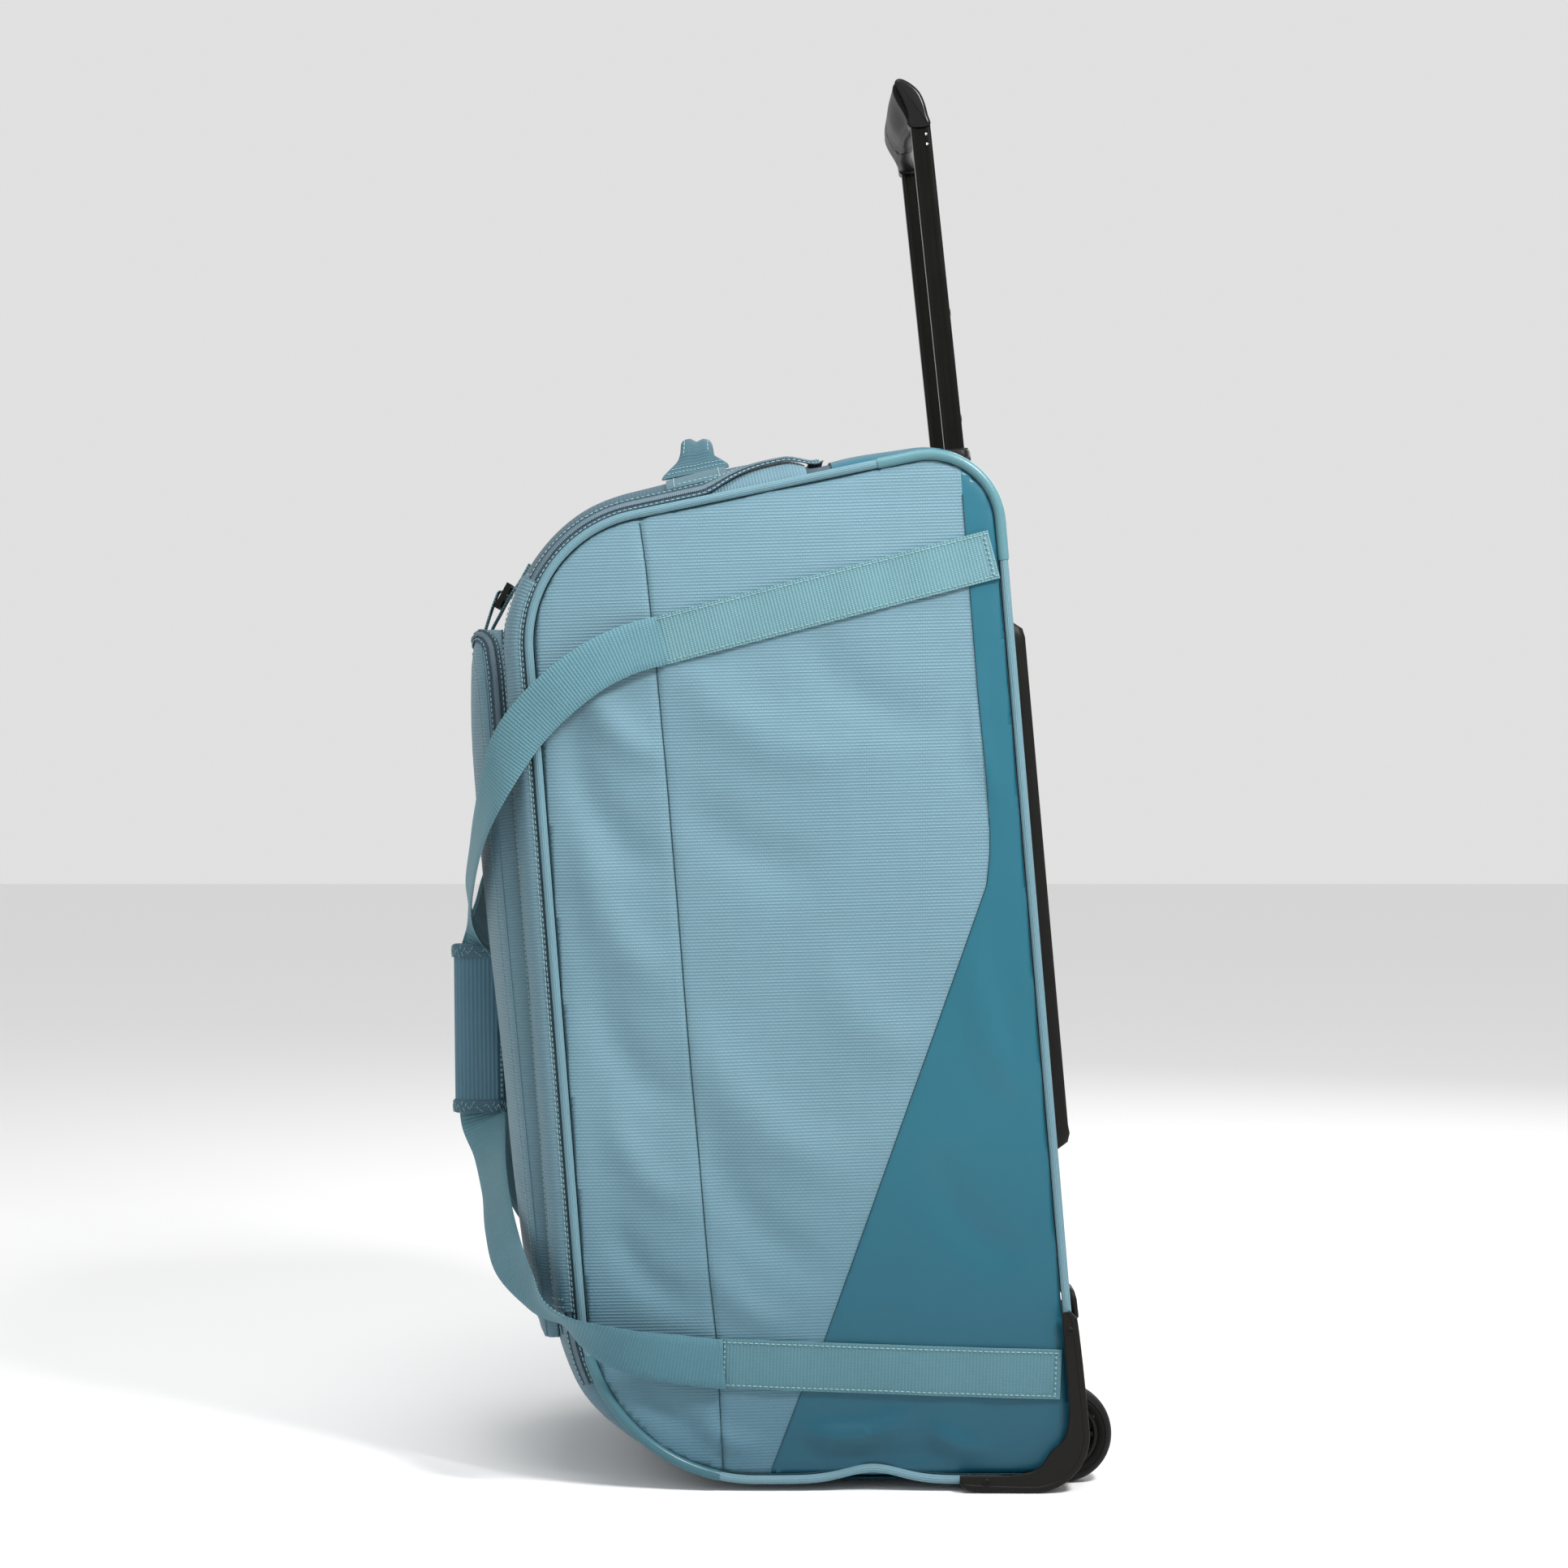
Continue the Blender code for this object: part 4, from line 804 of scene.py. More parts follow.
def side_height(x, z, edge):
    """How far the finished side stands out at (x, z); edge is the distance in from the piping."""
    calm = smooth(edge / 0.030)
    height = side_swell(x, z) + fold_height(x, z) * calm * strap_calm(x, z)
    height += 0.0007 * calm * noise.noise(Vector((x * 16, z * 9, 0.5)))
    height += 0.0003 * calm * noise.noise(Vector((x * 45, z * 30, 2.5)))
    height -= 0.0012 * math.exp(-(beside(SEAM, x, z) / 0.0022) ** 2)
    height += 0.0004 * smooth((beside(COATED_EDGE, x, z) + 0.0012) / 0.0008) - 0.0003
    height -= 0.0014 * math.exp(-(edge / 0.003) ** 2)
    return height


def outline_points(inset):
    """The side outline pulled in by inset, as (x, z)."""
    spots = []
    count = round(OUTLINE.total / 0.006)
    for i in range(count):
        point, normal = OUTLINE.at(OUTLINE.total * i / count)
        spots.append(point - normal * inset)
    return spots


def side_sheet(way):
    """Flat cut of a side panel in the XZ plane, split along its seams and into small cells."""
    bm = bmesh.new()
    rim = outline_points(0.0040)
    bm.faces.new([bm.verts.new((p.x, way * SIDE_FACE, p.y)) for p in rim])

    def split(point, normal):
        """Cut every face along a plane."""
        geometry = bm.verts[:] + bm.edges[:] + bm.faces[:]
        bmesh.ops.bisect_plane(bm, geom=geometry, plane_co=point, plane_no=normal, dist=0.00005)

    low_x, high_x = min(p.x for p in rim), max(p.x for p in rim)
    low_z, high_z = min(p.y for p in rim), max(p.y for p in rim)
    for line in (SEAM, COATED_EDGE):
        for (x0, z0), (x1, z1) in zip(line, line[1:]):
            split((x0, 0, z0), (z1 - z0, 0, x0 - x1))
    for k in range(1, int((high_x - low_x) / FINE) + 1):
        split((low_x + k * FINE, 0, 0), (1, 0, 0))
    for k in range(1, int((high_z - low_z) / FINE) + 1):
        split((0, 0, low_z + k * FINE), (0, 0, 1))
    return bm, rim


def side_panel(name, way):
    """One side of the bag, domed and softly folded, in ripstop with a coated lower corner."""
    bm, rim = side_sheet(way)
    layer = bm.loops.layers.uv.verify()
    edge_tree = nearest_tree([(p.x, 0, p.y) for p in rim])
    for face in bm.faces:
        middle = face.calc_center_median()
        face.material_index = 1 if beside(COATED_EDGE, middle.x, middle.z) > 0 else 0
        for loop in face.loops:
            loop[layer].uv = (loop.vert.co.x, loop.vert.co.z - loop.vert.co.x * 0.03)
    for vertex in bm.verts:
        x, z = vertex.co.x, vertex.co.z
        edge = (edge_tree.find((x, 0, z))[0] - Vector((x, 0, z))).length
        vertex.co.y += way * side_height(x, z, edge)
    made = piece(name, bm, ["ripstop", "coated"], replaces=["side_panel_" + name.split("_")[-1]])
    thicken(made)
    return made


def side_seam(name, line, way, size, high, low=0.016):
    """Dark cord along a seam of the side panel: painted shade in the sunken seam."""
    spots = [p for p in resampled([Vector((x, 0, z)) for x, z in line], 0.004) if low < p.z < high]
    path = [Vector((p.x, way * (SIDE_FACE + side_height(p.x, p.z, 0.03) + 0.0004), p.z)) for p in spots]
    bm = bmesh.new()
    add_cord(bm, path, [Vector((0, way, 0))] * len(path), size, 0.0009, 5)
    return piece(name, bm, ["seam"])


# ---- wrap-round skin ----
LID_START = OUTLINE.find(0.026, 0.7820)
LID_END = OUTLINE.find(-0.060, 0.0150)
ZIP_RUN = OUTLINE.find(0.0355, 0.7838)
TOP_START = OUTLINE.find(0.166, 0.7700)
TOP_END = OUTLINE.find(0.046, 0.7862)
BACK_START = OUTLINE.find(0.2275, 0.1420)
BOTTOM_START = OUTLINE.find(-0.050, 0.0130)
BOTTOM_END = OUTLINE.find(0.150, 0.0090)


def zip_line(s):
    """Distance of the main zip from the middle of the bag at outline distance s."""
    return 0.1832 - 0.021 * smooth((1.022 - s) / 0.060)


def wrap_skin(name, start, end, materials, index_of=None):
    """A fine panel of the skin between two places on the outline, with slight ripples."""
    rows = max(2, round(abs(end - start) / FINE))
    spread = [2 * j / SKIN_CELLS - 1 for j in range(SKIN_CELLS + 1)]
    outer, inner, uvs = [], [], []
    for i in range(rows + 1):
        s = start + (end - start) * i / rows
        outer.append([])
        inner.append([])
        uvs.append([])
        for v in spread:
            p = shell(s, v)
            calm = smooth((1 - abs(v)) / 0.15) * smooth(min(i, rows - i) / 3)
            wave = noise.noise(Vector((p.y * 14, s * 9, 1.5))) + 0.4 * noise.noise(p * 40)
            outer[-1].append(shell(s, v, lift=RIPPLE * wave * calm))
            inner[-1].append(shell(s, v, lift=-CLOTH, inset=CLOTH))
            uvs[-1].append((p.y, s))
    bm = bmesh.new()
    add_grid(bm, outer, inner, uvs, index_of=index_of and (lambda i, j: index_of(
        start + (end - start) * (i + 0.5) / rows, spread[j])))
    return piece(name + "_skin", bm, materials, replaces=[name])


def piping_path(way, start, end, step=0.004, out=0.0):
    """Points, tangents and outward normals of the piping between two outline distances."""
    count = max(2, round(abs(end - start) / step))
    places = []
    for i in range(count + 1):
        s = start + (end - start) * i / count
        point, normal = OUTLINE.at(s)
        hump = 0.009 * math.exp(-((point.x - 0.076) / 0.030) ** 2) if point.y < 0.02 else 0.0
        shift = Vector((normal.x, 0, normal.y)) * (out - hump)
        places.append((Vector((point.x, way * PIPING_Y, point.y)) + shift, Vector((normal.x, 0, normal.y))))
    return places


def piping(name, way):
    """Ribbed fabric piping round the side."""
    places = piping_path(way, 0, OUTLINE.total)[:-1]
    bm = bmesh.new()
    add_cord(bm, [p for p, _ in places], [n for _, n in places], 2 * PIPING_RADIUS, 2 * PIPING_RADIUS, 10,
             closed=True)
    return piece("piping_cord_" + name, bm, ["piping"], replaces=["piping_" + name])


def piping_cover(name, way, start, end):
    """Smooth cover wrapped over a stretch of the piping."""
    places = piping_path(way, start, end, 0.003)
    path = [p for p, _ in places]
    rings = []
    for i, (p, normal) in enumerate(places):
        taper = 1.0 if 0 < i < len(path) - 1 else 0.94
        size = (2 * PIPING_RADIUS + 0.0016) * taper
        rings.append(swept_ring(p, tangent(path, i), normal, size, size, 12))
    bm = bmesh.new()
    add_tube(bm, path, rings)
    return piece(name, bm, ["cover"])


def seam_shadow(name, way, out):
    """Dark cord that runs along the piping: painted shade of the seam beside it."""
    places = piping_path(way, 0, OUTLINE.total, 0.005, out=out)[:-1]
    path = [p + Vector((0, way * 0.0004, 0)) for p, _ in places]
    bm = bmesh.new()
    add_cord(bm, path, [n for _, n in places], 0.0008, 0.0008, 5, closed=True)
    return piece(name, bm, ["seam"])


def lid_underlay():
    """Fabric under the cross run of the main zip, from the lid to the top panel."""
    bm = bmesh.new()
    profile = [(0.1853 * (k / 20 - 1), -0.0016) for k in range(41)]
    add_skin_band(bm, TOP_END - 0.006, LID_START + 0.006, profile, way=1)
    return piece("lid_underlay", bm, ["zip"])


def soft_shell():
    """Side panels with their piping and seams, and the skin round the bag."""
    for name, way in SIDES:
        side_panel("side_" + name, way)
        piping(name, way)
        seam_shadow("piping_seam_" + name, way, -PIPING_RADIUS - 0.0009)
        side_seam("side_seam_" + name, SEAM, way, 0.0009, 0.747)
        side_seam("coated_seam_" + name, COATED_EDGE, way, 0.0007, 0.770)
        top_cover = (OUTLINE.find(0.177, 0.718), OUTLINE.find(0.0785, 0.793))
        low_cover = (OUTLINE.find(-0.1475, 0.103), OUTLINE.find(-0.0435, 0.009))
        piping_cover("piping_cover_top_" + name, way, *top_cover)
        piping_cover("piping_cover_low_" + name, way, *low_cover)
    lid_edge = OUTLINE.find(-0.192, 0.706)
    wrap_skin("lid_panel", LID_START, LID_END, ["satin", "gusset"],
              index_of=lambda s, v: 0 if s < lid_edge and abs(shell(s, v).y) < zip_line(s) else 1)
    lid_underlay()
    wrap_skin("top_panel", TOP_START, TOP_END, ["coated"])
    wrap_skin("back_panel", BACK_START, TOP_START - 0.0008, ["ripstop"])
    wrap_skin("bottom_panel", BOTTOM_START - OUTLINE.total, BOTTOM_END - OUTLINE.total, ["coated"])


# ---- sewn seams and zips ----
def skin_place(s, y, lift):
    """Point raised off the skin at outline distance s and y, with the skin's outward normal."""
    v = across_share(y)
    normal = shell_normal(s, v)
    return shell(s, v) + normal * lift, normal


def skin_path(places, lift):
    """Points and normals along (s, y) places on the skin."""
    found = [skin_place(s, y, lift) for s, y in places]
    return [p for p, _ in found], [n for _, n in found]


def add_coil(bm, path, normals, width, height, index=0):
    """Two interlocked rows of zip teeth along a path whose points are half a tooth apart."""
    rings = []
    for i, (p, n) in enumerate(zip(path, normals)):
        along = tangent(path, i)
        side = along.cross(n).normalized()
        left, right = (1.0, 0.62) if i % 2 else (0.62, 1.0)
        low = 0.75 if i % 2 else 1.0
        tooth = ((-left, 0.0), (-left, 0.55), (-0.30, low), (0.0, 0.72), (0.30, low), (right, 0.55),
                 (right, 0.0))
        rings.append([p + side * a * width / 2 + n * b * height for a, b in tooth])
    add_tube(bm, path, rings, index=index)


def add_zip(bm, path, normals, tape, thick):
    """Zip tape with its coil down the middle and a stitch line along each edge."""
    rows = []
    for i, (p, n) in enumerate(zip(path, normals)):
        side = n.cross(tangent(path, i)).normalized() * tape / 2
        rows.append((p - side, p + side, n))
    add_ribbon(bm, rows, thick, tape)
    fine = resampled(path, 0.0008)
    tree = nearest_tree(path)
    nearest = [normals[tree.find(p)[1]] for p in fine]
    add_coil(bm, [p + n * thick for p, n in zip(fine, nearest)], nearest, 0.0052, 0.0019, 1)
    for way in (-1, 1):
        line = [row[0].lerp(row[1], 0.5 + way * 0.40) + row[2] * thick for row in rows]
        add_stitches(bm, line, normals, 2)


ZIP_LOW = OUTLINE.find(-0.1420, 0.083)


def main_zip_places():
    """(s, y) places up one side of the lid, across the top and down the other side."""
    runs = [ZIP_LOW + (ZIP_RUN + ZIP_TURN - ZIP_LOW) * i / 150 for i in range(150)]
    half = [(s, -zip_line(s)) for s in runs]
    high = zip_line(ZIP_RUN + ZIP_TURN)
    for i in range(9):
        angle = math.pi / 2 * i / 8
        half.append((ZIP_RUN + ZIP_TURN * (1 - math.sin(angle)), -high + ZIP_TURN * (1 - math.cos(angle))))
    half += [(ZIP_RUN, (ZIP_TURN - high) * (1 - i / 26)) for i in range(1, 27)]
    return half + [(s, -y) for s, y in reversed(half[:-1])]


def add_skin_band(bm, start, end, profile, index=0, way=-1, step=0.005):
    """A strip along the outline whose cross profile is a list of (y, lift), closed underneath."""
    rows = max(2, round(abs(end - start) / step))
    outer, inner, uvs = [], [], []
    for i in range(rows + 1):
        s = start + (end - start) * i / rows
        wave = 0.0005 * noise.noise(Vector((s * 22, way * 3.0, 0.2)))
        outer.append([skin_place(s, way * y, lift + wave)[0] for y, lift in profile])
        inner.append([skin_place(s, way * y, lift + wave - 0.0009)[0] for y, lift in profile])
        uvs.append([(y, s) for y, _ in profile])
    add_grid(bm, outer, inner, uvs, index)


def storm_flap(name, way):
    """Ripstop flap that covers the zip down the front, stitched along its sewn edge."""
    start, end = OUTLINE.find(-0.1900, 0.704), OUTLINE.find(-0.1460, 0.138)
    profile = [(0.1853, 0.0010), (0.1850, 0.0030), (0.1838, 0.0052), (0.1815, 0.0062), (0.1780, 0.0064),
               (0.1730, 0.0060), (0.1680, 0.0050), (0.1655, 0.0034), (0.1650, 0.0020)]
    bm = bmesh.new()
    add_skin_band(bm, start, end, profile, way=way)
    for y, lift in ((0.1845, 0.0046), (0.1690, 0.0055)):
        places = [(start + (end - start) * i / 100, way * y) for i in range(101)]
        path, normals = skin_path(places, lift)
        add_stitches(bm, path, normals, 1, size=0.00040)
    for shift in (0.004, 0.010):
        places = [(end - shift, way * (0.1670 + 0.0160 * i / 8)) for i in range(9)]
        path, normals = skin_path(places, 0.0064)
        add_stitches(bm, path, normals, 1, size=0.00050)
    return piece("storm_flap_" + name, bm, ["gusset", "stitch"])


def lid_seams(name, way):
    """Two long seam lines down the lid between the flap and the pocket: a dark cord of painted seam shade and
    a row of stitches.
    """
    bm = bmesh.new()
    start, end = OUTLINE.find(-0.1950, 0.690), OUTLINE.find(-0.1480, 0.120)
    for y, index in ((0.1635, 0), (0.1595, 1)):
        places = [(start + (end - start) * i / 120, way * y) for i in range(121)]
        path, normals = skin_path(places, 0.0006)
        if index:
            add_stitches(bm, path, normals, 1, size=0.00040)
        else:
            add_cord(bm, path, normals, 0.0012, 0.0010, 5)
    return piece("lid_seam_" + name, bm, ["seam", "stitch"])


def zips():
    """The main zip, with the flaps and seams beside it."""
    bm = bmesh.new()
    path, normals = skin_path(main_zip_places(), 0.0022)
    add_zip(bm, path, normals, 0.0125, 0.0010)
    piece("main_zip_coil", bm, ["zip", "coil", "stitch"], replaces=["main_zip"])
    for name, way in SIDES:
        storm_flap(name, way)
        lid_seams(name, way)


# ---- front pocket ----
POCKET_TOP = OUTLINE.find(-0.1885, 0.664)
POCKET_LOW = OUTLINE.find(-0.1500, 0.115)


def rounded_box(low_s, high_s, half, radii):
    """(s, y) places round a box with rounded corners, from its low left corner over the top."""
    turns = [(1, 0), (0, -1), (-1, 0), (0, 1), (1, 0)]
    low, top = radii
    centres = [(high_s - low, low - half, low), (low_s + top, top - half, top),
               (low_s + top, half - top, top), (high_s - low, half - low, low)]
    made = []
    for (s, y, radius), begin, end in zip(centres, turns, turns[1:]):
        for k in range(9):
            angle = math.pi / 2 * k / 8
            arm = Vector(begin) * math.cos(angle) + Vector(end) * math.sin(angle)
            made.append(Vector((s, y)) + arm * radius)
    return resampled(made + made[:1], 0.0055)[:-1]


def raised(s, y, lift):
    """Point at a height over the lid, straight out from the outline."""
    return shell(s, across_share(y), lift)


def pocket_depth(s):
    """Depth of the pocket at outline distance s."""
    share = (s - POCKET_TOP) / (POCKET_LOW - POCKET_TOP)
    return POCKET_DEPTH_TOP + (POCKET_DEPTH_BOTTOM - POCKET_DEPTH_TOP) * share


def pocket_point(place, middle, ring):
    """Point of the pocket on ring 0 (the sewn rim), up the wall and in over the face."""
    low = int(ring)
    if ring > low:
        return pocket_point(place, middle, low).lerp(pocket_point(place, middle, low + 1), ring - low)
    walls = len(POCKET_LEVELS)
    depth = pocket_depth(place.x)
    share, inset = POCKET_LEVELS[min(low, walls - 1)]
    inward = max(low - walls + 1, 0) / POCKET_RINGS
    size = (place - middle).length
    reach = (1 - inset / size) * (1 - 0.985 * inward ** 1.1)
    s, y = middle.x + (place.x - middle.x) * reach, middle.y + (place.y - middle.y) * reach
    puff = POCKET_PUFF * (1 - (1 - inward) ** 5)
    crease = 0.0012 * noise.noise(Vector((y * 18, s * 12, 7.0))) * min(inward * 6, 1)
    depth = depth + (pocket_depth(s) - depth) * inward
    return raised(s, y, depth * share + 0.0008 + puff + crease)


def front_pocket():
    """Pouch on the lid: a wall, a rounded edge and a softly filled face, with its zip and seams."""
    rim = rounded_box(POCKET_TOP, POCKET_LOW, POCKET_HALF_WIDTH, (0.018, 0.034))
    middle = Vector(((POCKET_TOP + POCKET_LOW) / 2, 0.0))
    levels = range(len(POCKET_LEVELS) + POCKET_RINGS)
    bm = bmesh.new()
    layer = bm.loops.layers.uv.verify()
    skins = [[bm.verts.new(pocket_point(place, middle, level)) for place in rim] for level in levels]
    girth = distances(rim, closed=True)
    count = len(rim)
    for level in range(len(skins) - 1):
        for k in range(count):
            m = (k + 1) % count
            corners = [skins[level][k], skins[level][m], skins[level + 1][m], skins[level + 1][k]]
            uvs = [(v.co.y, v.co.z) for v in corners]
            if level < 5:
                low, high = (POCKET_LEVELS[n][0] * 0.022 for n in (level, level + 1))
                uvs = [(low, girth[k]), (low, girth[k + 1]), (high, girth[k + 1]), (high, girth[k])]
            add_face(bm, layer, corners, uvs)
    add_face(bm, layer, skins[-1], [(v.co.y, v.co.z) for v in skins[-1]])
    made = piece("front_pocket_skin", bm, ["gusset"], replaces=["front_pocket"])
    thicken(made)
    pocket_zip(rim, middle)
    pocket_edge(rim, middle)
    return made


def pocket_normal(rim, k, middle, ring):
    """Outward normal of the pocket's surface beside rim place k."""
    here = pocket_point(rim[k], middle, ring)
    up = pocket_point(rim[k], middle, ring + 0.5) - here
    side = pocket_point(rim[(k + 1) % len(rim)], middle, ring) - pocket_point(rim[k - 1], middle, ring)
    return side.cross(up).normalized()


def pocket_zip(rim, middle):
    """Zip over the top of the pocket's face and down the middle of each side wall."""
    chosen = [k for k, place in enumerate(rim) if place.x < POCKET_TOP + 0.085]
    path, normals = [], []
    for k in chosen:
        over = smooth((0.152 - abs(rim[k].y)) / 0.030)
        ring = WALL_MIDDLE + (FACE_EDGE - WALL_MIDDLE) * over
        path.append(pocket_point(rim[k], middle, ring))
        normals.append(pocket_normal(rim, k, middle, ring))
    if normals[0].dot(path[0] - INSIDE_BAG) < 0:
        normals = [-n for n in normals]
    bm = bmesh.new()
    add_zip(bm, path, normals, 0.0124, 0.0011)
    return piece("pocket_zip_coil", bm, ["zip", "coil", "stitch"], replaces=["pocket_zip"])


def pocket_edge(rim, middle):
    """Raised seam round the pocket's edge with a row of stitches beside it, and a dark cord of painted shade
    round its foot.
    """
    bm = bmesh.new()
    for ring, index, size in ((5.0, 0, 0.0020), (0.2, 1, 0.0012)):
        edge = [pocket_point(p, middle, ring) for p in rim]
        normals = [pocket_normal(rim, k, middle, ring) for k in range(len(rim))]
        add_cord(bm, edge, normals, size, size * 0.8, 6, closed=True, index=index)
    line = [pocket_point(p, middle, 8.4) for p in rim]
    normals = [pocket_normal(rim, k, middle, 8.0) for k in range(len(rim))]
    outward = 1 if normals[0].dot(line[0] - INSIDE_BAG) > 0 else -1
    add_stitches(bm, [p + n * outward * 0.0002 for p, n in zip(line, normals)], normals, 2, size=0.00040)
    return piece("pocket_edge", bm, ["gusset", "seam", "stitch"])


# ---- sewn webbing ----


def strap_calm(x, z):
    """1 away from the sewn straps, small under them, where the fabric is held flat."""
    calm = 1.0
    for start, end in (UPPER_SEWN, LOWER_SEWN):
        run = Vector(end) - Vector(start)
        place = Vector((x, z)) - Vector(start)
        off = abs(place.x * run.y - place.y * run.x) / run.length
        if -0.05 < place.dot(run) / run.length_squared < 1.05:
            calm = min(calm, 0.15 + 0.85 * smooth((off - WEBBING_WIDTH / 2) / 0.012))
    return calm


def sewn_strap(name, ends, way):
    """Webbing sewn flat on the side, with edge stitching and a box tack at its free end."""
    start, end = Vector(ends[0]), Vector(ends[1])
    along = (end - start).normalized()
    across = Vector((-along.y, along.x))
    length = (end - start).length
    rows, columns = round(length / 0.004), 8

    def place(u, w, lift):
        """Point at u along and w across the strap, raised off the side."""
        spot = start + along * u + across * w
        sag = 0.0008 * noise.noise(Vector((u * 30, w * 20, way * 4.0)))
        y = SIDE_FACE + side_height(spot.x, spot.y, 0.03) + lift + sag
        return Vector((spot.x, way * y, spot.y))

    outer, inner, uvs = [], [], []
    for i in range(rows + 1):
        u = length * i / rows
        spread = [WEBBING_WIDTH * (j / columns - 0.5) for j in range(columns + 1)]
        outer.append([place(u, w, STRAP + 0.0012) for w in spread])
        inner.append([place(u, w, 0.0004) for w in spread])
        uvs.append([(u, w) for w in spread])
    bm = bmesh.new()
    add_grid(bm, outer, inner, uvs)
    normal = Vector((0, way, 0))
    for w in (-0.0165, 0.0165):
        line = [place(length * i / 80, w, STRAP + 0.0015) for i in range(81)]
        add_stitches(bm, line, [normal] * 81, 1, size=0.00045, gap=0.0012)
    for u in (0.0035, length - 0.004):
        line = [place(u, WEBBING_WIDTH * 0.47 * (i / 5 - 1), STRAP + 0.0017) for i in range(11)]
        add_stitches(bm, line, [normal] * 11, 1, length=0.0018, gap=0.0022, size=0.00070)
    return piece(name, bm, ["webbing", "stitch"], replaces=[name.replace("sewn_", "")])


# ---- carry loops and their wrap ----


def curve_point(a, b, c, d, t):
    """Catmull-Rom point between b and c."""
    return 0.5 * (2 * b + (c - a) * t + (2 * a - 5 * b + 4 * c - d) * t * t
                  + (3 * b - a - 3 * c + d) * t ** 3)


def curve(points, steps):
    """Points along a Catmull-Rom curve through the given ones."""
    spots = [Vector(p) for p in points]
    made = []
    for i in range(len(spots) - 1):
        before, after = spots[max(i - 1, 0)], spots[min(i + 2, len(spots) - 1)]
        made += [curve_point(before, spots[i], spots[i + 1], after, k / steps) for k in range(steps)]
    return made + [spots[-1]]


def carry_loop(name, points, way, start, end):
    """Free webbing from the sewn strap to the wrap, with its edges sewn."""
    flip = Vector((1, -way, 1))
    centres = curve([p for p, _ in points], 8)
    sides = curve([w for _, w in points], 8)
    rows, normals = [], []
    for i, (centre, side) in enumerate(zip(centres, sides)):
        along = tangent(centres, i)
        side = (side - along * side.dot(along)).normalized() * WEBBING_WIDTH / 2
        normal = along.cross(side).normalized()
        rows.append(((centre - side) * flip, (centre + side) * flip, normal * flip))
        normals.append(normal * flip)
    bm = bmesh.new()
    add_ribbon(bm, rows, 0.0018, WEBBING_WIDTH, columns=6)
    for share in (0.075, 0.925):
        line = [row[0].lerp(row[1], share) + row[2] * 0.0018 for row in rows]
        add_stitches(bm, line, normals, 1, length=0.0024, gap=0.0016, size=0.00030)
    made = piece(name + "_loop", bm, ["loop", "stitch"], body=None, replaces=[name])
    start, end = Vector(start) * flip, Vector(end) * flip
    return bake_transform(made)


def carry_loops():
    """The sewn straps and free loops of both carry handles."""
    for name, way in SIDES:
        sewn_strap("sewn_upper_strap_" + name, UPPER_SEWN, way)
        sewn_strap("sewn_lower_strap_" + name, LOWER_SEWN, way)
        carry_loop("upper_loop_" + name, LOOP_UPPER, way, *UPPER_BLEND)
        carry_loop("lower_loop_" + name, LOOP_LOWER, way, *LOWER_BLEND)


def wrap_point(z, turn, lift):
    """Point on the wrap at height z; turn 0 is the bag side and -90 degrees the left."""
    share = (z - WRAP_LOW) / (WRAP_HIGH - WRAP_LOW)
    lean = -0.0015 * share
    swell = 0.0016 * math.sin(math.pi * share) ** 0.6 + 0.0005 * math.sin(9 * share + 2 * turn)
    overlap = 0.0010 * smooth((math.sin(turn + 0.9) * -1 + 0.1) / 0.12)
    x = signed_power(math.cos(turn), 0.62) * (WRAP_HALF[0] + lift + overlap)
    y = signed_power(math.sin(turn), 0.62) * (WRAP_HALF[1] + swell + lift + overlap)
    return Vector((WRAP_X + lean + x, y, z))


def grip_wrap():
    """Padded sleeve round both loops, bound at its ends and closed by an overlapping edge."""
    sides, steps = 56, 36
    bm = bmesh.new()
    rings = []
    path = []
    for i in range(steps + 1):
        z = WRAP_LOW + 0.004 + (WRAP_HIGH - WRAP_LOW - 0.008) * i / steps
        path.append(Vector((WRAP_X, 0, z)))
        rings.append([wrap_point(z, 2 * math.pi * k / sides, 0.0) for k in range(sides)])
    add_tube(bm, path, rings)
    cushion = piece("grip_wrap_pad", bm, ["wrap"], "carry_handles", ["grip_wrap"])
    inflate(cushion, lambda p: not WRAP_LOW + 0.015 < p.z < WRAP_HIGH - 0.015, 0.6)
    wrap_binding("grip_wrap_binding_low", WRAP_LOW, WRAP_LOW + WRAP_BAND, sides)
    wrap_binding("grip_wrap_binding_high", WRAP_HIGH - WRAP_BAND, WRAP_HIGH, sides)
    wrap_edge()
    return cushion


def wrap_binding(name, low, high, sides):
    """Binding tape folded over an end of the wrap, with a zigzag stitch."""
    bm = bmesh.new()
    levels = [(0.0, -0.0030), (0.0, 0.0), (0.06, 0.0012), (0.25, 0.0016), (0.75, 0.0016), (0.94, 0.0012),
              (1.0, 0.0), (1.0, -0.0030)]
    rings, path = [], []
    for share, lift in levels:
        z = low + (high - low) * share
        path.append(Vector((WRAP_X, 0, z)))
        rings.append([wrap_point(z, 2 * math.pi * k / sides, lift) for k in range(sides)])
    add_tube(bm, path, rings)
    count = 60
    zigzag = [wrap_point(low + (high - low) * (0.30 if k % 2 else 0.70), 2 * math.pi * k / count, 0.0018)
              for k in range(count + 1)]
    normals = [(p - Vector((WRAP_X, 0, p.z))).normalized() for p in zigzag]
    add_stitches(bm, zigzag, normals, 1, length=0.0036, gap=0.0004, size=0.00032)
    return piece(name, bm, ["binding", "stitch"], "carry_handles")


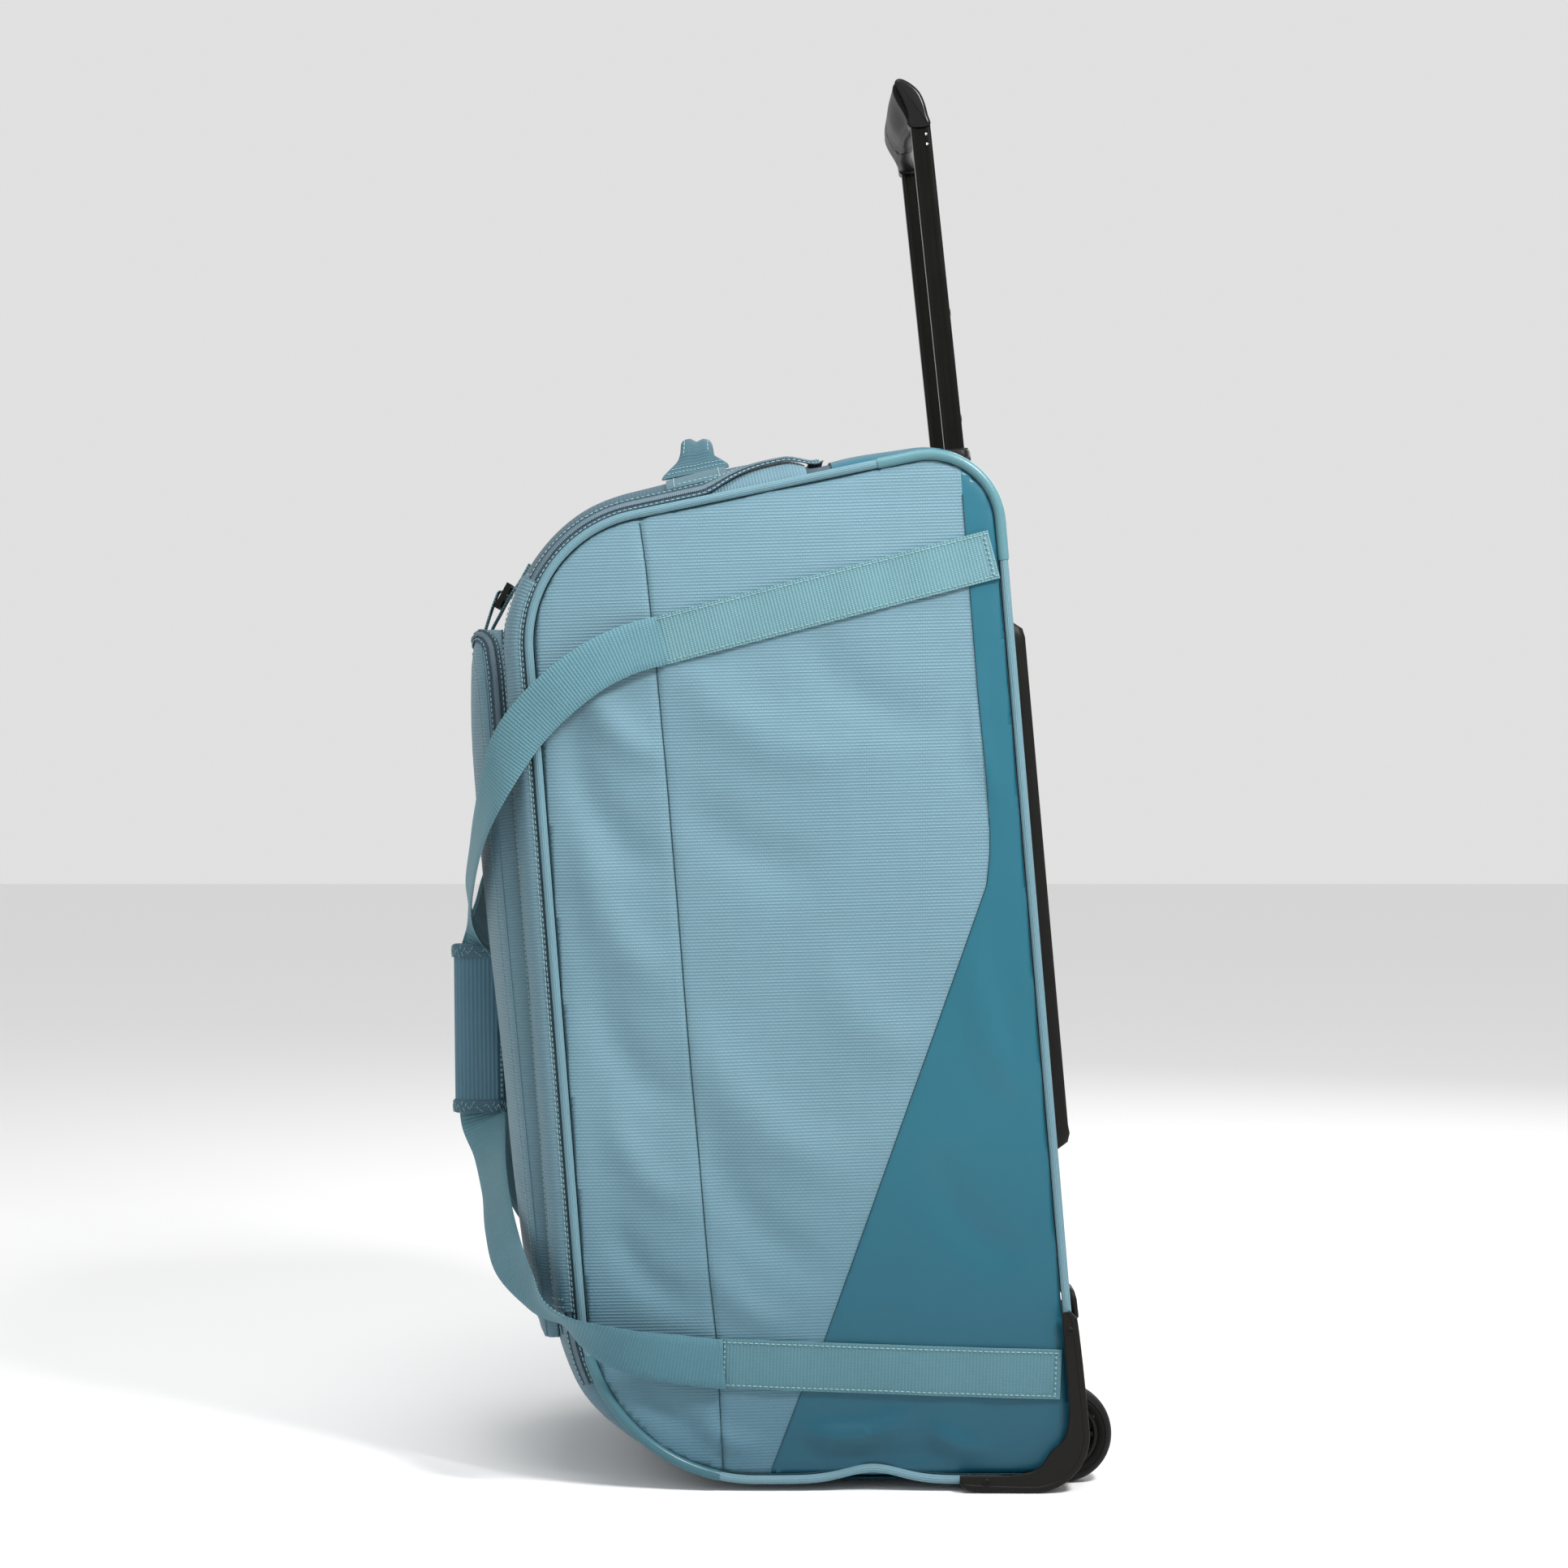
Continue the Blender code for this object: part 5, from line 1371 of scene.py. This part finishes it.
def wrap_edge():
    """Sewn edge of the overlap that closes the wrap, down the left side."""
    bm = bmesh.new()
    for turn in (-0.86, -0.74, 0.86):
        line = [wrap_point(WRAP_LOW + 0.012 + 0.115 * i / 40, turn, 0.0016) for i in range(41)]
        normals = [(p - Vector((WRAP_X, 0, p.z))).normalized() for p in line]
        add_stitches(bm, line, normals, 0, size=0.00036)
    return piece("grip_wrap_seam", bm, ["stitch"], "carry_handles")


def inflate(made, held, pressure, frames=14):
    """Puff a closed mesh with a short cloth simulation; points that are held stay where they are."""
    group = made.vertex_groups.new(name="held")
    group.add([v.index for v in made.data.vertices if held(v.co)], 1.0, "REPLACE")
    bpy.context.view_layer.update()
    cloth = made.modifiers.new("cloth", "CLOTH")
    cloth.settings.vertex_group_mass = "held"
    cloth.settings.use_pressure = True
    cloth.settings.uniform_pressure_force = pressure
    cloth.settings.effector_weights.gravity = 0.0
    cloth.settings.tension_stiffness = 40
    cloth.settings.compression_stiffness = 40
    cloth.settings.shear_stiffness = 30
    cloth.settings.bending_stiffness = 4.0
    cloth.settings.quality = 6
    scene = bpy.context.scene
    cloth.point_cache.frame_start = 1
    cloth.point_cache.frame_end = frames
    for frame_number in range(1, frames + 1):
        scene.frame_set(frame_number)
    settled = made.evaluated_get(bpy.context.evaluated_depsgraph_get())
    places = [v.co.copy() for v in settled.data.vertices]
    made.modifiers.remove(cloth)
    for vertex, place in zip(made.data.vertices, places):
        shift = place - vertex.co
        if shift.length > 0.004:
            shift *= 0.004 / shift.length
        vertex.co += shift
    scene.frame_set(1)


# ---- haul handle and closure ----
HAUL_S = OUTLINE.find(-0.057, 0.7637)
HAUL_PIVOT = shell(HAUL_S, across_share(0.075), lift=0.004) * Vector((1, 0, 1))


def haul_handle():
    """Padded grip on a wide webbing base that narrows up into it like a tent."""
    half = [Vector(key[:3]).to_4d() for key in HAUL_KEYS]
    for spot, key in zip(half, HAUL_KEYS):
        spot.w = key[3]
    keys = [Vector((-k[0], k[1], k[2], k[3])) for k in half] + [Vector(k) for k in reversed(half[:-1])]
    keys = [curve_point(keys[max(i - 1, 0)], keys[i], keys[min(i + 1, len(keys) - 1)],
                        keys[min(i + 2, len(keys) - 1)], k / 4)
            for i in range(len(keys) - 1) for k in range(4)] + [keys[-1]]
    path = [HAUL_PIVOT + Vector((0, k[0], k[3])) for k in keys]
    rings = []
    for i, key in enumerate(keys):
        along = tangent(path, i)
        up = Vector((0, -along.z, along.y))
        ring = []
        for k in range(28):
            turn = 2 * math.pi * k / 28
            a = signed_power(math.cos(turn), 0.6) * key[1]
            b = signed_power(math.sin(turn), 0.8) * key[2]
            b *= 1 - 0.45 * math.exp(-(a / 0.0022) ** 2)
            ring.append(path[i] + Vector((a, 0, a * 0.20 * smooth((abs(key[0]) - 0.06) / 0.02))) + up * b)
        rings.append(ring)
    bm = bmesh.new()
    add_tube(bm, path, rings)
    made = piece("haul_handle_pad", bm, ["haul"], None, ["haul_handle"])
    inflate(made, lambda p: abs(p.y) > 0.050, 0.5)
    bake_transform(made)
    haul_stitching(rings)
    for name, way in SIDES:
        haul_patch(name, way)
    return made


def haul_stitching(rings):
    """Edge stitches along the grip of the haul handle and a bar tack at each end."""
    bm = bmesh.new()
    up = Vector((0, 0, 1))
    for k in (4, 10):
        line = [ring[k] + up * 0.0002 for ring in rings[14:-14]]
        add_stitches(bm, line, [up] * len(line), 0, size=0.00036)
    for i in (4, 7, -8, -5):
        line = [rings[i][k] + up * 0.0003 for k in range(2, 13)]
        add_stitches(bm, line, [up] * len(line), 0, length=0.0022, gap=0.0008, size=0.00045)
    made = piece("haul_handle_stitching", bm, ["stitch"], None)
    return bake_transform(made)


def haul_patch(name, way):
    """Wide webbing under the haul handle's end, sewn round its edge."""
    outer, inner, uvs = [], [], []
    for i in range(19):
        y = 0.070 + 0.105 * i / 18
        outer.append([])
        inner.append([])
        uvs.append([])
        for j in range(9):
            w = 0.048 * (j / 8 - 0.5)
            point, normal = skin_place(HAUL_S + w, way * y, 0.0004)
            outer[-1].append(point + normal * 0.0018)
            inner[-1].append(point)
            uvs[-1].append((y, w))
    bm = bmesh.new()
    add_grid(bm, outer, inner, uvs)
    lines = [[outer[i][j] for i in range(19)] for j in (1, 7)] + [outer[2][1:8], outer[17][1:8]]
    for line in lines:
        line = resampled(line, 0.004)
        add_stitches(bm, line, [Vector((0, way * 0.5, 0.8))] * len(line), 1, size=0.00050)
    return piece("haul_patch_sewn_" + name, bm, ["haul", "stitch"],
                 replaces=["haul_patch_" + name])


def closure_strap():
    """Short strap from the shoulder to the pocket, threaded through the ladder lock."""
    bm = bmesh.new()
    for keys, half, thick in ((CLOSURE_RUN, 0.010, 0.0014), (CLOSURE_TAIL, 0.0098, 0.0013)):
        places = curve(keys, 5)
        rows = []
        for i, place in enumerate(places):
            along = tangent(places, i)
            side = Vector((0, half, 0))
            rows.append((place - side, place + side, Vector((along.z, 0, -along.x))))
        add_ribbon(bm, rows, thick, 0.020)
    return piece("closure_webbing", bm, ["webbing"], replaces=["closure_strap"])


# ---- trolley handle ----
AXIS = Vector((-math.sin(TUBE_TILT), 0, math.cos(TUBE_TILT)))
ACROSS = Vector((math.cos(TUBE_TILT), 0, math.sin(TUBE_TILT)))


def tube_point(reach, dx, y):
    """Point at a reach along the tubes from their exit, dx behind their axis."""
    return TUBE_EXIT + AXIS * reach + ACROSS * dx + Vector((0, y, 0))


def grooved_section(size_x, size_y, corner, groove):
    """Rounded box section with a shallow groove down its two wide faces."""
    points = []
    a, b = size_x / 2 - corner, size_y / 2 - corner
    for cx, cy, first in ((a, -b, -90), (a, b, 0), (-a, b, 90), (-a, -b, 180)):
        for k in range(5):
            turn = math.radians(first + 22.5 * k)
            points.append((cx + corner * math.cos(turn), cy + corner * math.sin(turn)))
        if first in (0, 180):
            way = 1 if first == 0 else -1
            points += [(way * 0.0030, way * size_y / 2), (way * 0.0022, way * (size_y / 2 - groove)),
                       (-way * 0.0022, way * (size_y / 2 - groove)), (-way * 0.0030, way * size_y / 2)]
    return points


def inner_tube(name, y):
    """Drawn tube with rounded corners, a groove down each side and a row of lock holes."""
    section = grooved_section(*TUBE_SIZE, 0.0030, 0.0007)
    reaches = [INNER_REACH[0] + (INNER_REACH[1] - INNER_REACH[0]) * i / 40 for i in range(41)]
    rings = [[tube_point(r, dx, y + dy) for dx, dy in section] for r in reaches]
    bm = bmesh.new()
    add_tube(bm, [tube_point(r, 0, y) for r in reaches], rings)
    for reach in LOCK_HOLES:
        dimple = []
        for depth, radius in LOCK_HOLE_PROFILE:
            dimple.append([tube_point(reach + radius * math.sin(math.pi * k / 8), TUBE_SIZE[0] / 2 + depth,
                                      y + radius * math.cos(math.pi * k / 8)) for k in range(16)])
        add_tube(bm, [ring[0] for ring in dimple], dimple)
    return piece(name + "_drawn", bm, ["tube"], "trolley", [name], angle=35)


def shrunk(points, amount):
    """A closed (reach, dx) outline pulled in towards its inside."""
    made = []
    for i, p in enumerate(points):
        along = (points[(i + 1) % len(points)] - points[i - 1]).normalized()
        made.append(p + Vector((-along.y, along.x)) * amount)
    return made


def grip_part(bm, outline, y0, y1, soft):
    """A rounded-edge block: the outline at each place carried across from y0 to y1."""
    way = 1 if y1 > y0 else -1
    turns = [math.pi / 2 * k / 4 for k in range(5)]
    edge = [(way * soft * (1 - math.cos(turn)), soft * (1 - math.sin(turn))) for turn in turns]
    levels = [(y0 + dy, amount) for dy, amount in edge]
    levels += [(y0 + (y1 - y0) * k / 12, 0.0) for k in range(1, 12)]
    levels += [(y1 - dy, amount) for dy, amount in reversed(edge)]
    rings = [[tube_point(r, dx, y) for r, dx in shrunk(outline(y), amount)] for y, amount in levels]
    add_tube(bm, [Vector((0, y, 0)) for y, _ in levels], rings)


def smooth_outline(points, steps=5):
    """A closed outline rounded off through its points."""
    spots = [Vector(p) for p in points]
    count = len(spots)
    return [curve_point(spots[i - 1], spots[i], spots[(i + 1) % count], spots[(i + 2) % count], k / steps)
            for i in range(count) for k in range(steps)]


def bar_outline(y):
    """Side outline of the crossbar: slim beside the caps, fuller in the middle."""
    share = smooth((0.1010 - abs(y)) / 0.060)
    return [a.lerp(b, share) for a, b in zip(smooth_outline(GRIP_END), smooth_outline(GRIP_BAR))]


def trolley_grip():
    """Soft-touch crossbar between two horn-shaped end caps riveted into the tubes."""
    ear = smooth_outline(GRIP_EAR)
    bm = bmesh.new()
    for way in (-1, 1):
        grip_part(bm, lambda y: ear, way * 0.0900, way * GRIP_HALF, 0.0028)
    caps = piece("grip_caps", bm, ["grip"], "trolley", ["grip"], angle=60)
    bm = bmesh.new()
    for y0, y1 in ((-0.1010, -0.0130), (0.0130, 0.1010)):
        grip_part(bm, bar_outline, y0, y1, 0.0008)
    well = [Vector(p) for p in BUTTON_WELL]
    grip_part(bm, lambda y: well, -0.0134, 0.0134, 0.0003)
    piece("grip_bar", bm, ["soft_grip"], "trolley", angle=60)
    bm = bmesh.new()
    for way in (-1, 1):
        for reach in RIVET_REACHES:
            screw_head(bm, tube_point(reach, 0.0035, way * (TUBE_Y + TUBE_SIZE[1] / 2)), way, 0.0011)
    piece("grip_rivets", bm, ["steel"], "trolley", angle=40)
    return caps


def screw_head(bm, centre, way, radius):
    """A domed cross-head screw facing sideways."""
    arms = [Vector((math.cos(math.pi * k / 8), 0, math.sin(math.pi * k / 8))) for k in range(16)]
    rings = []
    for out, share in SCREW_PROFILE:
        rings.append([centre + arm * radius * share + Vector((0, way * out, 0)) for arm in arms])
    add_tube(bm, [ring[0] for ring in rings], rings)


def button_cap():
    """Domed release button in the middle of the grip, with raised bars."""
    bm = bmesh.new()
    outline = smooth_outline(BUTTON_CAP, 3)
    rib = [Vector(p) for p in BUTTON_BAR]
    grip_part(bm, lambda y: outline, -0.0114, 0.0114, 0.0014)
    for k in range(5):
        dy = 0.0036 * (k - 2)
        grip_part(bm, lambda y: rib, dy - 0.0007, dy + 0.0007, 0.0003)
    return piece("handle_button_cap", bm, ["soft_grip"], "button", ["handle_button"])


def bezel():
    """Rounded plate round the tubes where they leave the bag."""
    bm = bmesh.new()
    sides = 64
    rings = []
    for reach, shrink in BEZEL_LEVELS:
        ring = []
        for k in range(sides):
            turn = 2 * math.pi * k / sides
            dx = signed_power(math.cos(turn), 0.45) * (0.0135 - shrink)
            y = signed_power(math.sin(turn), 0.30) * (0.1190 - shrink)
            ring.append(tube_point(reach, dx, y))
        rings.append(ring)
    add_tube(bm, [tube_point(0.001 * i, 0, 0) for i in range(len(rings))], rings)
    for way in (-1, 1):
        section = grooved_section(TUBE_SIZE[0] + 0.0052, TUBE_SIZE[1] + 0.0052, 0.0045, 0.0)
        inner = grooved_section(TUBE_SIZE[0] + 0.0006, TUBE_SIZE[1] + 0.0006, 0.0032, 0.0)
        collar = [[tube_point(reach, dx, way * TUBE_Y + dy) for dx, dy in shape] for reach, shape in (
            (-0.0062, section), (-0.0044, section), (-0.0038, inner), (-0.0056, inner))]
        add_tube(bm, [ring[0] for ring in collar], collar)
    return piece("handle_bezel_plate", bm, ["plastic"], replaces=["handle_bezel"])


# ---- back rails, corner guards and wheels ----
def back_line(z, out=0.0):
    """X of the back skin at height z in the middle of the bag."""
    return 0.2285 - 0.0881 * (z - 0.139) + 0.0045 + out


def skid_rail(name, way):
    """Long moulded rail on the back, with two grooves and rounded ends."""
    low, high, half = RAIL_LOW, RAIL_HIGH, 0.0112
    rings, path = [], []
    steps = 60
    for i in range(steps + 1):
        share = i / steps
        z = low + (high - low) * share
        end = min(z - low, high - z)
        rise = 0.0118 * math.sqrt(max(1 - (1 - min(end / 0.014, 1.0)) ** 2, 0.0)) + 0.0006
        lip = 0.0012 * math.exp(-((z - low - 0.012) / 0.003) ** 2)
        path.append(Vector((back_line(z), way * TUBE_Y, z)))
        narrow = 0.80 + 0.20 * smooth(end / 0.012)
        rings.append([Vector((back_line(z, (rise + lip) * h), way * TUBE_Y + half * narrow * w, z))
                      for w, h in RAIL_SECTION])
    bm = bmesh.new()
    add_tube(bm, path, rings)
    return piece(name + "_moulded", bm, ["plastic"], replaces=[name], angle=35)


GUARD_START = OUTLINE.find(0.143, 0.009) - OUTLINE.total
GUARD_END = OUTLINE.find(0.2280, 0.139)


def corner_guard(name, way):
    """Moulded guard wrapped round the lower back corner, with rounded edges and a raised rib."""
    steps = 72
    rings, path = [], []
    for i in range(steps + 1):
        share = i / steps
        point, normal = OUTLINE.at(GUARD_START + (GUARD_END - GUARD_START) * share)
        ends = math.sin(math.pi * share) ** 0.5
        bend = math.sin(math.pi * min(1.2 * share, 1.0)) ** 8
        outer, inner = 0.0060 + 0.0030 * ends, -0.0045 - 0.0120 * bend
        soft = 0.0016
        tip = 1 - 0.35 * (1 - smooth(min(share, 1 - share) / 0.03))
        section = [(inner, 0.1990 - 0.0006), (inner + 0.0006, 0.1990), (outer - 0.0050, 0.1990),
                   (outer - 0.0044, 0.1996), (outer - soft, 0.1994)]
        section += [(outer - soft + soft * math.sin(t), 0.1994 - soft + soft * math.cos(t))
                    for t in (0.4, 0.8, 1.2, 1.57)]
        section += [(outer, 0.1860), (outer - 0.0007, 0.1850), (outer - 0.0007, 0.1835), (outer, 0.1825),
                    (outer, 0.1755), (outer - 0.0008, 0.1745), (0.0008, 0.1745), (0.0008, 0.1958),
                    (inner, 0.1958)]
        path.append(Vector((point.x, way * 0.19, point.y)))
        section = [(inner + (out - inner) * tip if out > 0.001 else out, y) for out, y in section]
        rings.append([Vector((point.x + normal.x * out, way * y, point.y + normal.y * out))
                      for out, y in section])
    bm = bmesh.new()
    add_tube(bm, path, rings)
    for share in (0.10, 0.93):
        point, normal = OUTLINE.at(GUARD_START + (GUARD_END - GUARD_START) * share)
        spot = Vector((point.x + normal.x * 0.0005, way * 0.1990, point.y + normal.y * 0.0005))
        screw_head(bm, spot, way, 0.0032)
    return piece(name + "_moulded", bm, ["guard"], replaces=[name], angle=40)


def turned(bm, centre, profile, sides=72, index=0):
    """A closed ring turned round the Y axis from (radius, y) points."""
    rings = []
    for k in range(sides):
        turn = 2 * math.pi * k / sides
        rings.append([centre + Vector((r * math.cos(turn), d, r * math.sin(turn))) for r, d in profile])
    add_tube(bm, [ring[0] for ring in rings], rings, closed=True, index=index)


def wheel(name, way):
    """Tyre with a stepped side wall and tread grooves, on a hub with spokes."""
    centre = WHEEL_CENTRE * Vector((1, way, 1))
    profile = TYRE_HALF + [(0.0380, 0.0)] + [(r, -d) for r, d in reversed(TYRE_HALF)]
    bm = bmesh.new()
    turned(bm, centre, [(0.0272, -0.0104)] + profile + [(0.0272, 0.0104)])
    piece("tyre_tread_" + name, bm, ["rubber"], "wheel_" + name, ["tyre_" + name], angle=35)
    bm = bmesh.new()
    for profile, sides in ((HUB_RIM, 72), (HUB_BOSS, 40), (HUB_DISC, 60)):
        turned(bm, centre, profile, sides)
    for k in range(6):
        spoke(bm, centre, 2 * math.pi * k / 6)
    return piece("wheel_hub_spoked_" + name, bm, ["plastic"], "wheel_" + name,
                 ["wheel_hub_" + name], angle=35)


def spoke(bm, centre, turn):
    """A tapered rib from the hub's boss to its rim."""
    out = Vector((math.cos(turn), 0, math.sin(turn)))
    side = Vector((-math.sin(turn), 0, math.cos(turn)))
    rings = []
    for radius, half, deep in SPOKE_LEVELS:
        rings.append([centre + out * radius + side * half * a + Vector((0, deep * b, 0))
                      for a, b in SPOKE_SECTION])
    add_tube(bm, [ring[0] for ring in rings], rings)


def housing_tower(name, way):
    """Small moulded block above the guard where the wheel housing meets the back."""
    bm = bmesh.new()
    rings, path = [], []
    for z, out, half in ((0.131, 0.0052, 0.020), (0.133, 0.0064, 0.022), (0.146, 0.0060, 0.022),
                         (0.152, 0.0048, 0.020), (0.1545, 0.0024, 0.016)):
        x = 0.2285 - 0.0881 * (z - 0.139) + 0.0006
        ring = []
        for k in range(24):
            turn = 2 * math.pi * k / 24
            a = signed_power(math.cos(turn), 0.4)
            b = signed_power(math.sin(turn), 0.4)
            ring.append(Vector((x + out * (a + 1) / 2, way * 0.160 + half * b, z)))
        rings.append(ring)
        path.append(Vector((x, way * 0.160, z)))
    add_tube(bm, path, rings)
    return piece("housing_block_" + name, bm, ["guard"])


def hardware():
    """Trolley handle, rails, guards and wheels."""
    for name, way in SIDES:
        inner_tube("inner_tube_" + name, way * TUBE_Y)
        skid_rail("skid_rail_" + name, way)
        corner_guard("corner_guard_" + name, way)
        wheel(name, way)
        housing_tower(name, way)
    trolley_grip()
    button_cap()
    bezel()


# ---- floor, light and camera ----
def studio():
    """White floor and world, soft lights and the camera at the side of the bag."""
    bpy.ops.mesh.primitive_plane_add(size=30, location=(0, 0, 0))
    floor = bpy.context.object
    floor.name = "floor"
    white = Graph("floor_white")
    floor.data.materials.append(white.finish((0.88, 0.88, 0.88), 0.9))
    world = bpy.data.worlds.new("studio")
    world.use_nodes = True
    sky = world.node_tree.nodes["Background"]
    sky.inputs["Color"].default_value = (1.0, 1.0, 1.0, 1.0)
    sky.inputs["Strength"].default_value = WORLD_LIGHT
    bpy.context.scene.world = world
    bpy.context.scene.view_settings.view_transform = "Standard"
    for name, place, aim, size, power in LIGHTS:
        data = bpy.data.lights.new(name, "AREA")
        data.shape = "RECTANGLE"
        data.size, data.size_y = size
        data.energy = power
        lamp = bpy.data.objects.new(name, data)
        lamp.location = place
        lamp.rotation_euler = (Vector(aim) - Vector(place)).to_track_quat("-Z", "Y").to_euler()
        bpy.context.scene.collection.objects.link(lamp)
    lens = bpy.data.cameras.new("camera")
    lens.lens = CAMERA_LENS
    lens.sensor_width = 36.0
    camera = bpy.data.objects.new("camera", lens)
    camera.location = CAMERA_PLACE
    camera.rotation_euler = (math.pi / 2, 0, 0)
    bpy.context.scene.collection.objects.link(camera)
    bpy.context.scene.camera = camera


paint_cad_nodes()
soft_shell()
zips()
front_pocket()
carry_loops()
grip_wrap()
haul_handle()
closure_strap()
hardware()
studio()
